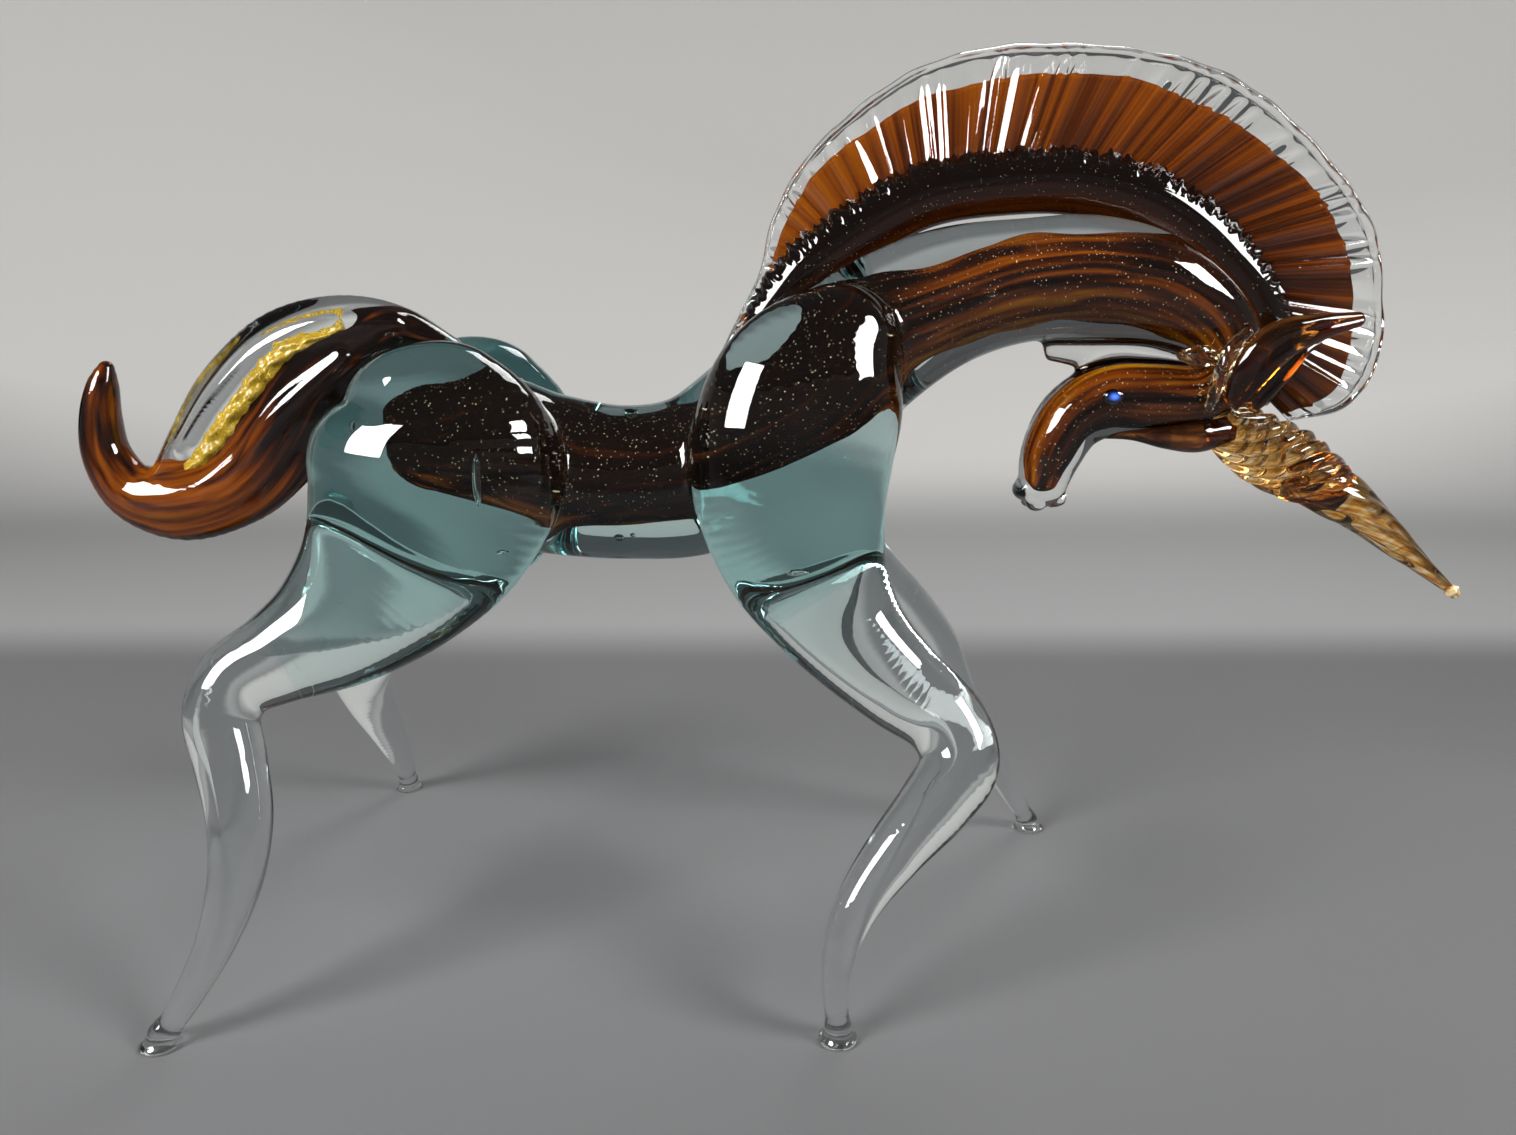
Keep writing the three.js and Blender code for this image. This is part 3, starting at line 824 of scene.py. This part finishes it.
# Each swept piece: its rod, and how finely and in what shape it is drawn.
SWEPT = {
    "barrel_core": (CORE, {"last": WITHERS, "groove": soft_groove}),
    "neck_core": (CORE, {"first": WITHERS, "last": POLL, "groove": soft_groove}),
    "head_core": (CORE, {"first": POLL, "groove": soft_groove}),
    "tail_plume": (TAIL_PLUME, {"last": TAIL_CURL_AT, "groove": fluted_groove}),
    "tail_curl": (TAIL_PLUME, {"first": TAIL_CURL_AT, "groove": fluted_groove}),
    "tail_crest": (TAIL_GOLD, {"groove": crumpled_groove}),
    "mane_rope": (MANE_ROPE, {"spacing": 0.35, "sides": 128, "groove": rope_groove}),
    "horn_collar": (HORN_COLLAR, {"spacing": 0.15, "sides": 96, **COLLAR}),
    "horn_spike": (HORN_SPIKE, {"spacing": 0.2, "sides": 96, **SPIKE}),
    "horn_tip": (HORN_TIP, {"spacing": 0.1, "sides": 32, "groove": crumpled_groove}),
    "horn_trail": (HORN_TRAIL, {"spacing": 0.3, "groove": soft_groove}),
    "throat_bead": (THROAT_BEAD, {"spacing": 0.2, "sides": 48, "groove": crumpled_groove}),
    "forelock": (FORELOCK, {"spacing": 0.3, "groove": folded_groove}),
}
for side, on_side in (("right", list), ("left", across_from)):
    SWEPT[f"{side}_ear"] = (on_side(EAR), {"spacing": 0.3, "groove": folded_groove})
    SWEPT[f"{side}_ear_rim"] = (on_side(EAR_RIM), {"spacing": 0.3, "sides": 32, "groove": crumpled_groove})
for name, (stations, shape) in SWEPT.items():
    pieces_made[name] = sweep(name, stations, **shape)

EYE_ROWS = 14
EYE_SIDES = 40
EYE_ROUNDNESS = 0.9
# The groove inside the eye's rolled edge: how deep, where it comes and how wide, by shares of the lens.
EYE_GROOVE_DEPTH = 0.25
EYE_GROOVE_AT = 0.72
EYE_GROOVE_WIDTH = 0.08
EYE_SUNK = 0.35  # of its bulge is in the head


def eye(name, out):
    """A dot of glass pressed on as a shallow lens, with a rolled edge. out is -1 on the right side."""
    x, y, z = EYE["at"]
    y = y if out < 0 else 2 * MIDDLE - y
    rise = np.linspace(0, 1, EYE_ROWS)[:, None]
    turn = np.linspace(0, 2 * np.pi, EYE_SIDES, endpoint=False)[None, :] * -out
    radius = np.sin(rise * np.pi / 2) ** EYE_ROUNDNESS
    radius[0] = TIP_SHARE
    groove = EYE_GROOVE_DEPTH * np.exp(-(((rise - EYE_GROOVE_AT) / EYE_GROOVE_WIDTH) ** 2))
    height = np.cos(rise * np.pi / 2) * (1 - groove)
    around = np.stack(
        [
            x + EYE["length"] * radius * np.cos(turn),
            y + out * EYE["bulge"] * (height - EYE_SUNK) * np.ones_like(turn),
            z + EYE["height"] * radius * np.sin(turn),
        ],
        axis=-1,
    )
    straight = np.stack(np.broadcast_arrays(radius, np.cos(turn), np.sin(turn)), axis=-1)
    return make(name, around.reshape(-1, 3), grid_faces(EYE_ROWS, EYE_SIDES), straight.reshape(-1, 3))


pieces_made["right_eye"] = eye("right_eye", -1)
pieces_made["left_eye"] = eye("left_eye", 1)

# ---------------------------------------------------------------- the combed fin

RIBS = 46
FIN_COLUMNS = RIBS * 14
FIN_ROWS = 70
FIN_CURVE_STEP = 0.3  # mm
FIN_CLOSING = 20  # columns in which the sheet thins to nothing at the withers and at the poll
FIN_TAPER = 0.7  # of its thickness is lost on the way up
LEAST_HALF = 0.25  # mm, of its half width
EDGE_SHARE = 0.045  # of the way up is rounded over at the top
BEAD_AT = 0.955
BEAD_WIDTH = 0.03
SWAY = 0.5  # mm, how far the sheet waves to each side
SWAY_TURN = 0.55  # radians of that wave per rib


def arc_points(points, count):
    """Evenly spaced points on a smooth curve through some [x, z] points."""
    line = smooth_line([(x, MIDDLE, z, 1, 1) for x, z in points], FIN_CURVE_STEP)[:, [0, 2]]
    far = np.concatenate([[0], np.cumsum(np.linalg.norm(np.diff(line, axis=0), axis=1))])
    at = np.linspace(0, far[-1], count)
    return np.stack([np.interp(at, far, line[:, k]) for k in (0, 1)], axis=1)


fin_root = arc_points([(x, z) for x, _, z, _, _ in MANE_ROPE], FIN_COLUMNS)
fin_rim = arc_points(RIM, FIN_COLUMNS)
rib_phase = np.linspace(0, RIBS, FIN_COLUMNS)
rib_wander = noise(11, (0.9, 0, 0.28), (2.3, 0, 0.16))(rib_phase, 0)
rib_height = 0.75 + noise(12, (0.7, 0, 0.3), (1.9, 0, 0.25))(rib_phase, 0)
ribs = (0.5 - np.abs(((rib_phase + rib_wander) % 1) - 0.5)) * 2  # a folded zigzag from 0 to 1
ribs = ribs**1.5 * rib_height


def fin(name, top, thickness, ribbing, bead=0.0):
    """A sheet from the rope towards the rim, closed round its edges. top is how far up it reaches."""
    rise = np.linspace(0, 1, FIN_ROWS)[None, :] * top[:, None]
    column = np.arange(FIN_COLUMNS)
    ends = np.clip(np.minimum(column, column[::-1]) / FIN_CLOSING, 0.05, 1) ** 0.5
    round_top = np.sqrt(np.clip((1 - rise / top[:, None]) / EDGE_SHARE, 0, 1))
    # The ribs fade in above the rope and out below the rim.
    fade = np.clip((rise - 0.12) / 0.1, 0, 1) * np.clip((1.0 - rise) / 0.25, 0, 1)
    half_width = thickness / 2 * (1 - FIN_TAPER * rise) + ribbing * fade * (ribs[:, None] - 0.5)
    half_width = half_width + bead * np.exp(-(((rise - BEAD_AT) / BEAD_WIDTH) ** 2))
    half_width = np.maximum(half_width, LEAST_HALF) * ends[:, None] * np.maximum(round_top, TIP_SHARE)
    plane = fin_root[:, None] + (fin_rim - fin_root)[:, None] * rise[..., None]
    sway = SWAY * np.sin(rib_phase * SWAY_TURN)[:, None] * rise
    front = np.stack([plane[..., 0], MIDDLE + sway - half_width, plane[..., 1]], axis=-1)
    back = np.stack([plane[..., 0], MIDDLE + sway + half_width, plane[..., 1]], axis=-1)
    loop = np.concatenate([front, back[:, ::-1]], axis=1)
    around = np.concatenate([rise, rise[:, ::-1]], axis=1)
    phase = np.broadcast_to(rib_phase[:, None], around.shape)
    crest = np.broadcast_to(ribs[:, None], around.shape)
    flat = np.stack([phase, around, crest], axis=-1)
    return make(name, loop.reshape(-1, 3), grid_faces(FIN_COLUMNS, 2 * FIN_ROWS), flat.reshape(-1, 3))


scallop = 0.985 + noise(5, (2.9, 0, 0.005), (0.8, 0, 0.008), (0.37, 0, 0.006))(rib_phase, 0)
amber_top = 0.755 + noise(6, (0.5, 0, 0.02), (1.3, 0, 0.008), (2.9, 0, 0.003))(rib_phase, 0)
pieces_made["mane_fin"] = fin("mane_fin", scallop, thickness=7.4, ribbing=1.15, bead=0.75)
pieces_made["mane_amber"] = fin("mane_amber", amber_top, thickness=6.0, ribbing=0.5)

# ---------------------------------------------------------------- materials

GLASS_IOR = 1.5
FUSED_IOR = 1.0  # where glass is fused to glass, light isn't bent and nothing shines

# Opaque glass.
UMBER = (0.003, 0.0014, 0.001)
SEPIA = (0.011, 0.003, 0.0012)
BROWN = (0.03, 0.0065, 0.0012)
AMBER = (0.08, 0.018, 0.001)
ORANGE = (0.11, 0.029, 0.0012)
HONEY = (0.14, 0.06, 0.002)
OLIVE = (0.1, 0.06, 0.003)
YELLOW = (0.3, 0.19, 0.008)
STRAW = (0.6, 0.45, 0.1)
BRIGHT_BLUE = (0.1, 0.25, 0.8)
DEEP_BLUE = (0.02, 0.07, 0.42)
DARK_BLUE = (0.004, 0.01, 0.05)
IVORY = (0.6, 0.5, 0.32)
TAN = (0.45, 0.28, 0.1)
# The glass that light passes through.
DARK_UMBER = (0.05, 0.012, 0.004)
DARK_AMBER = (0.2, 0.05, 0.008)
DEEP_AMBER = (0.22, 0.06, 0.01)
BURNT_AMBER = (0.35, 0.09, 0.012)
RUSSET = (0.5, 0.17, 0.03)
TAWNY = (0.55, 0.2, 0.025)
PALE_AMBER = (0.75, 0.38, 0.06)
BRIGHT_AMBER = (0.85, 0.4, 0.05)
MARIGOLD = (0.85, 0.42, 0.06)
GOLD = (0.9, 0.65, 0.15)
CREAM = (0.95, 0.88, 0.7)
CLEAR = (0.93, 0.93, 0.9)
# What a depth of clear glass does to white light, and how strongly.
AQUA = (0.0, 0.51, 0.5)
AQUA_DENSITY = 17.0
PALE_AQUA = (0.0, 0.45, 0.45)
PALE_DENSITY = 7.0
SPECK = (0.6, 0.47, 0.3)


def material(name, roughness=0.5, ior=GLASS_IOR, transmission=0.0):
    """A new material and its node tree."""
    mat = bpy.data.materials.new(name)
    mat.use_nodes = True
    shader = mat.node_tree.nodes["Principled BSDF"]
    shader.inputs["Roughness"].default_value = roughness
    shader.inputs["IOR"].default_value = ior
    shader.inputs["Transmission Weight"].default_value = transmission
    return mat, mat.node_tree


def node(tree, kind, **settings):
    """A node with its inputs and properties set by name, where a socket given is linked instead."""
    made = tree.nodes.new(kind)
    for key, value in settings.items():
        key = key.replace("_", " ") if key.replace("_", " ") in made.inputs else key
        if key not in made.inputs:
            setattr(made, key, value)
        elif isinstance(value, bpy.types.NodeSocket):
            tree.links.new(value, made.inputs[key])
        else:
            made.inputs[key].default_value = value
    return made


def straight_place(tree):
    """A point's place on the straightened rod, in mm: along it, then across, then deep."""
    return node(tree, "ShaderNodeAttribute", attribute_name="straight").outputs["Vector"]


def cloud(tree, stretch, detail=5.0, offset=(0, 0, 0)):
    """Noise with its own scale each way on the straightened rod."""
    drawn = node(tree, "ShaderNodeMapping", Vector=straight_place(tree), Scale=stretch, Location=offset)
    vector = drawn.outputs["Vector"]
    return node(tree, "ShaderNodeTexNoise", Vector=vector, Scale=1.0, Detail=detail).outputs["Fac"]


def slide(tree, axis, low, high, place=None):
    """From 0 to 1 as a point's place on one axis goes from low to high."""
    axes = node(tree, "ShaderNodeSeparateXYZ", Vector=place or straight_place(tree))
    ends = {"From_Min": low, "From_Max": high, "interpolation_type": "SMOOTHSTEP"}
    return node(tree, "ShaderNodeMapRange", Value=axes.outputs[axis], **ends).outputs["Result"]


def mixture(tree, *terms):
    """The sum of some values, each with a weight."""
    total = None
    for value, weight in terms:
        step = node(tree, "ShaderNodeMath", operation="MULTIPLY_ADD")
        tree.links.new(value, step.inputs[0])
        step.inputs[1].default_value = weight
        step.inputs[2].default_value = 0
        if total:
            tree.links.new(total, step.inputs[2])
        total = step.outputs["Value"]
    return total


def ramp(tree, value, *stops):
    """A colour for each value, from evenly or unevenly placed (value, colour) stops."""
    made = node(tree, "ShaderNodeValToRGB", Fac=value)
    band = made.color_ramp
    while len(band.elements) < len(stops):
        band.elements.new(0.5)
    for element, (place, colour) in zip(band.elements, stops):
        element.position = place
        element.color = (*colour, 1)
    return made.outputs["Color"]


def paint(tree, colour):
    """Gives a material its colour."""
    tree.links.new(colour, tree.nodes["Principled BSDF"].inputs["Base Color"])


def specks(tree, colour, scale=1400.0, size=0.17):
    """Fine light dots, scattered over a colour."""
    where = node(tree, "ShaderNodeTexCoord").outputs["Object"]
    cells = node(tree, "ShaderNodeTexVoronoi", Vector=where, Scale=scale)
    ends = {"From_Min": size, "From_Max": size * 0.5}
    dot = node(tree, "ShaderNodeMapRange", Value=cells.outputs["Distance"], **ends)
    shade = node(tree, "ShaderNodeSeparateColor", Color=cells.outputs["Color"])
    strength = node(tree, "ShaderNodeMath", operation="MULTIPLY")
    tree.links.new(dot.outputs["Result"], strength.inputs[0])
    tree.links.new(shade.outputs["Red"], strength.inputs[1])
    over = node(tree, "ShaderNodeMix", data_type="RGBA")
    tree.links.new(strength.outputs["Value"], over.inputs["Factor"])
    tree.links.new(colour, over.inputs["A"])
    over.inputs["B"].default_value = (*SPECK, 1)
    return over.outputs["Result"]


def waver(tree, shader, scale=90.0, depth=0.00012):
    """The slight unevenness of glass worked by hand, as a bump in metres."""
    where = node(tree, "ShaderNodeTexCoord").outputs["Object"]
    swell = node(tree, "ShaderNodeTexNoise", Vector=where, Scale=scale, Detail=1.0)
    bump = node(tree, "ShaderNodeBump", Height=swell.outputs["Fac"], Strength=1.0, Distance=depth)
    tree.links.new(bump.outputs["Normal"], shader.inputs["Normal"])


def clear_glass(name, tint, density):
    """Soda glass: clear where thin, aqua where thick. Cut faces between pieces don't bend light."""
    mat, tree = material(name, roughness=0.0, transmission=1.0)
    shader = tree.nodes["Principled BSDF"]
    shader.inputs["Base Color"].default_value = (1, 1, 1, 1)
    fused = node(tree, "ShaderNodeAttribute", attribute_name="fused")
    ends = {"To_Min": GLASS_IOR, "To_Max": FUSED_IOR}
    bend = node(tree, "ShaderNodeMapRange", Value=fused.outputs["Fac"], **ends)
    tree.links.new(bend.outputs["Result"], shader.inputs["IOR"])
    waver(tree, shader)
    depth = node(tree, "ShaderNodeVolumeAbsorption", Color=(*tint, 1), Density=density)
    tree.links.new(depth.outputs["Volume"], tree.nodes["Material Output"].inputs["Volume"])
    return mat


def spine_core():
    """Umber through the barrel and shoulder, then brown with long amber streaks up the neck."""
    mat, tree = material("spine_core", ior=FUSED_IOR)
    value = mixture(
        tree,
        (cloud(tree, (0.01, 0.55, 0.55), detail=1.0), 0.68),
        (cloud(tree, (0.015, 1.6, 1.6), detail=1.0, offset=(7, 0, 0)), 0.12),
        (slide(tree, "X", 100, 126), 0.16),
        (slide(tree, "Y", -1, -8), 0.18),
    )
    stops = ((0.47, UMBER), (0.54, SEPIA), (0.6, BROWN), (0.68, AMBER), (0.8, HONEY))
    colour = ramp(tree, value, *stops)
    paint(tree, specks(tree, colour))
    return mat


def fin_amber():
    """Fine radial lines, honey at the withers and darker towards the poll and the rope, with painted shade
    darkening the grooves between the ribs.
    """
    mat, tree = material("fin_amber", ior=FUSED_IOR)
    value = mixture(
        tree,
        (cloud(tree, (7.3, 0.4, 0.1)), 0.5),
        (cloud(tree, (0.25, 1.2, 0.1), offset=(3, 5, 0)), 0.2),
        (slide(tree, "X", 40, 2), 0.16),
        (slide(tree, "Y", 0.2, 0.75), 0.1),
        # Lighter on the ribs' crests and darker where they sink into the grooves: painted shade in the
        # grooves.
        (slide(tree, "Z", 0.0, 0.35), 0.12),
    )
    stops = ((0.36, SEPIA), (0.48, BROWN), (0.62, AMBER), (0.78, ORANGE), (0.95, HONEY))
    paint(tree, ramp(tree, value, *stops))
    return mat


def rope_glass():
    """Near black on top, running to amber along the lower edge."""
    mat, tree = material("rope_glass", roughness=0.04)
    value = mixture(
        tree,
        (cloud(tree, (0.03, 0.4, 0.4)), 0.5),
        (slide(tree, "Y", 1.5, -6.5), 0.5),
    )
    stops = ((0.3, UMBER), (0.5, SEPIA), (0.66, BROWN), (0.84, AMBER))
    paint(tree, specks(tree, ramp(tree, value, *stops), size=0.12))
    return mat


def tail_amber():
    """Dark at the root, honey amber towards the curl, with fine dark lines drawn along it."""
    mat, tree = material("tail_amber", ior=FUSED_IOR)
    value = mixture(
        tree,
        (cloud(tree, (0.03, 0.8, 0.8), detail=3.0), 0.9),
        (slide(tree, "X", 34, 62), 0.28),
        (slide(tree, "X", 78, 104), -0.14),
        (slide(tree, "Y", 2, 8), -0.1),
    )
    stops = ((0.48, UMBER), (0.62, BROWN), (0.74, AMBER), (0.88, ORANGE), (1.0, HONEY))
    paint(tree, ramp(tree, value, *stops))
    return mat


def crackled_gold():
    """Yellow gold broken by fine cracks."""
    mat, tree = material("crackled_gold", roughness=0.25)
    place = node(tree, "ShaderNodeMapping", Vector=straight_place(tree), Scale=(0.7, 1.1, 1.1))
    vector = place.outputs["Vector"]
    cracks = node(tree, "ShaderNodeTexVoronoi", Vector=vector, feature="DISTANCE_TO_EDGE", Scale=1.0)
    value = mixture(tree, (cracks.outputs["Distance"], 1.6), (cloud(tree, (0.5, 0.9, 0.9)), 0.5))
    stops = ((0.18, STRAW), (0.26, YELLOW), (0.5, OLIVE), (0.7, YELLOW), (0.95, OLIVE))
    paint(tree, ramp(tree, value, *stops))
    return mat


def streaky_glass(name, stretch, stops):
    """See-through glass with coloured streaks that follow the rod."""
    mat, tree = material(name, roughness=0.01, transmission=1.0)
    paint(tree, ramp(tree, cloud(tree, stretch), *stops))
    return mat


def blue_dot():
    """Bright blue in the middle, running to black at the edge."""
    mat, tree = material("blue_dot", roughness=0.03)
    shader = tree.nodes["Principled BSDF"]
    value = mixture(tree, (slide(tree, "X", 0, 1), 0.85), (cloud(tree, (2, 2, 2)), 0.2))
    stops = ((0.05, BRIGHT_BLUE), (0.4, DEEP_BLUE), (0.62, DARK_BLUE), (0.8, UMBER))
    paint(tree, ramp(tree, value, *stops))
    shader.inputs["Coat Weight"].default_value = 1.0
    return mat


def cream_bead():
    """Opaque cream with tan clouds."""
    mat, tree = material("cream_bead", roughness=0.1)
    stops = ((0.35, IVORY), (0.6, TAN))
    paint(tree, ramp(tree, cloud(tree, (0.6, 0.6, 0.6)), *stops))
    return mat


UMBER_STOPS = ((0.42, DARK_UMBER), (0.62, RUSSET))
EAR_STOPS = ((0.38, DEEP_AMBER), (0.52, TAWNY), (0.64, PALE_AMBER))
GOLD_STOPS = ((0.38, PALE_AMBER), (0.5, CLEAR), (0.62, GOLD))
HORN_STOPS = (
    (0.34, BURNT_AMBER),
    (0.43, BRIGHT_AMBER),
    (0.48, CREAM),
    (0.52, MARIGOLD),
    (0.57, DARK_AMBER),
    (0.62, MARIGOLD),
    (0.7, CLEAR),
)

aqua = clear_glass("aqua_glass", AQUA, AQUA_DENSITY)
clear = clear_glass("clear_glass", PALE_AQUA, PALE_DENSITY)
spine = spine_core()
tail = tail_amber()
umber_glass = streaky_glass("umber_glass", (0.1, 0.5, 0.5), UMBER_STOPS)
ear_glass = streaky_glass("ear_glass", (0.05, 0.4, 0.4), EAR_STOPS)
gold_glass = streaky_glass("gold_glass", (0.2, 0.7, 0.7), GOLD_STOPS)
horn_glass = streaky_glass("horn_glass", (0.02, 0.42, 0.42), HORN_STOPS)
eye_glass = blue_dot()

# Each piece's glass and record slot, by name. The rest are the clear cased glass.
FINISH = {
    "barrel_core": (spine, "umber_glass"),
    "neck_core": (spine, "amber_glass"),
    "head_core": (spine, "amber_glass"),
    "tail_plume": (tail, "amber_glass"),
    "tail_curl": (tail, "amber_glass"),
    "tail_crest": (crackled_gold(), "gold_glass"),
    "mane_amber": (fin_amber(), "amber_glass"),
    "mane_rope": (rope_glass(), "umber_glass"),
    "horn_collar": (horn_glass, "amber_glass"),
    "horn_spike": (horn_glass, "amber_glass"),
    "horn_tip": (cream_bead(), "gold_glass"),
    "horn_trail": (umber_glass, "umber_glass"),
    "throat_bead": (gold_glass, "gold_glass"),
    "forelock": (ear_glass, "amber_glass"),
    "right_ear": (ear_glass, "amber_glass"),
    "left_ear": (ear_glass, "amber_glass"),
    "right_ear_rim": (gold_glass, "gold_glass"),
    "left_ear_rim": (gold_glass, "gold_glass"),
    "right_eye": (eye_glass, "blue_glass"),
    "left_eye": (eye_glass, "blue_glass"),
}
AQUA_PIECES = {"barrel_casing", "right_haunch", "left_haunch", "right_shoulder", "left_shoulder"}
# The nodes stood for by each piece that doesn't stand for just the node of its own name.
REPLACES = {
    "neck_base": [],
    "neck_arch": ["neck_casing"],
    "head_casing": ["head_casing", "throat_web"],
    "tail_casing": [],
    "right_ear_rim": [],
    "left_ear_rim": [],
}
# Light reaches the coloured glass through these.
CASINGS = AQUA_PIECES | {"neck_base", "neck_arch", "head_casing", "tail_casing", "mane_fin"}

for name, piece in pieces_made.items():
    plain_glass = (aqua, "aqua_glass") if name in AQUA_PIECES else (clear, "clear_glass")
    glass_kind, slot = FINISH.get(name, plain_glass)
    piece.data.materials.append(glass_kind)
    piece.visible_shadow = name not in CASINGS
    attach(piece, "root")
    stands_for = REPLACES.get(name, [name])
    if stands_for:
        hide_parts(*stands_for)

# ---------------------------------------------------------------- stage, light and camera

CAMERA = Vector((0, -231, 129))  # mm
PITCH = 12  # degrees down
LENS = 26.12  # mm, for the sensor's width
SENSOR = 36  # mm
LAMP_TARGET = Vector((0, 0, 0.1))  # m
SKY = (0.95, 0.97, 1.0)
SKY_STRENGTH = 0.08
BOUNCES = 24
# The table, in m: the radius of its level part, how far its edge turns up, and how high it ends.
TABLE_LEVEL = 0.75
TABLE_BEND = 0.45
TABLE_TOP = 0.62
TABLE_SIDES = 96
# Cloth from under the figurine to the top of the wall: painted shade darkens it in front, and painted
# light makes it paler behind and up the wall.
NEAR_SHADED_CLOTH = (0.1, 0.1, 0.102)
MIDDLE_CLOTH = (0.24, 0.24, 0.238)
FAR_LIT_CLOTH = (0.67, 0.66, 0.64)


def shaded_and_lit_cloth():
    """Plain cloth with painted shade and light: darker grey under the figurine and in front of it as
    painted shade, paler behind it and up the wall as painted light.
    """
    mat, tree = material("shaded_and_lit_cloth", roughness=0.9)
    place = node(tree, "ShaderNodeTexCoord").outputs["Object"]
    value = mixture(
        tree,
        # Painted shade: darker under and in front of the figurine.
        (slide(tree, "Y", 0.18, 0.25, place), 0.3),
        # Painted light: paler behind the figurine and up the wall.
        (slide(tree, "Y", 0.45, 0.85, place), 0.7),
        (slide(tree, "Z", 0.02, 0.3, place), 0.45),
    )
    stops = ((0.0, NEAR_SHADED_CLOTH), (0.3, MIDDLE_CLOTH), (1.0, FAR_LIT_CLOTH))
    paint(tree, ramp(tree, value, *stops))
    return mat


def table():
    """A wide round floor that turns up into a low wall all round."""
    outline = [(r, 0) for r in (0.25, 0.5, TABLE_LEVEL)]
    for a in np.linspace(0.1, math.pi / 2, 12):
        outline.append((TABLE_LEVEL + TABLE_BEND * math.sin(a), TABLE_BEND * (1 - math.cos(a))))
    outline.append((TABLE_LEVEL + TABLE_BEND, TABLE_TOP))
    turns = np.linspace(0, 2 * math.pi, TABLE_SIDES, endpoint=False)
    points = [(r * math.cos(t), r * math.sin(t), z) for r, z in outline for t in turns]
    faces = [tuple(range(TABLE_SIDES))]
    for k in range(len(outline) - 1):
        for j in range(TABLE_SIDES):
            a = k * TABLE_SIDES + j
            b = k * TABLE_SIDES + (j + 1) % TABLE_SIDES
            faces.append((a, a + TABLE_SIDES, b + TABLE_SIDES, b))
    shape = bpy.data.meshes.new("table")
    shape.from_pydata(points, [], faces)
    shape.polygons.foreach_set("use_smooth", np.ones(len(shape.polygons), bool))
    ob = bpy.data.objects.new("table", shape)
    ob.data.materials.append(shaded_and_lit_cloth())
    bpy.context.scene.collection.objects.link(ob)


def softbox(name, azimuth, elevation, distance, size, power):
    """A square lamp aimed at the middle of the object. Azimuth 0 is the camera's side."""
    lamp = bpy.data.lights.new(name, "AREA")
    lamp.size = size
    lamp.energy = power
    ob = bpy.data.objects.new(name, lamp)
    bpy.context.scene.collection.objects.link(ob)
    turn = math.radians(azimuth)
    lift = math.radians(elevation)
    way = Vector((math.sin(turn) * math.cos(lift), -math.cos(turn) * math.cos(lift), math.sin(lift)))
    ob.location = LAMP_TARGET + way * distance
    ob.rotation_euler = (-way).to_track_quat("-Z", "Y").to_euler()
    ob.visible_camera = False
    return ob


table()
softbox("key", azimuth=-50, elevation=26, distance=0.85, size=0.36, power=13)
softbox("fill", azimuth=62, elevation=30, distance=0.85, size=0.3, power=9)
back = softbox("back", azimuth=158, elevation=48, distance=0.9, size=0.35, power=3)
# It lights the far side, and isn't seen through the glass.
back.visible_transmission = False

world = bpy.data.worlds.new("studio")
world.use_nodes = True
sky = world.node_tree.nodes["Background"]
sky.inputs["Color"].default_value = (*SKY, 1)
sky.inputs["Strength"].default_value = SKY_STRENGTH
bpy.context.scene.world = world

view = bpy.data.cameras.new("camera")
view.sensor_width = SENSOR
view.lens = LENS
view.clip_start = 0.01
camera = bpy.data.objects.new("camera", view)
camera.location = (CAMERA + SHIFT) * MM
camera.rotation_euler = (math.radians(90 - PITCH), 0, 0)
bpy.context.scene.collection.objects.link(camera)

scene = bpy.context.scene
scene.camera = camera
scene.view_settings.view_transform = "Standard"
scene.cycles.max_bounces = BOUNCES
scene.cycles.transmission_bounces = BOUNCES
scene.cycles.transparent_max_bounces = 16
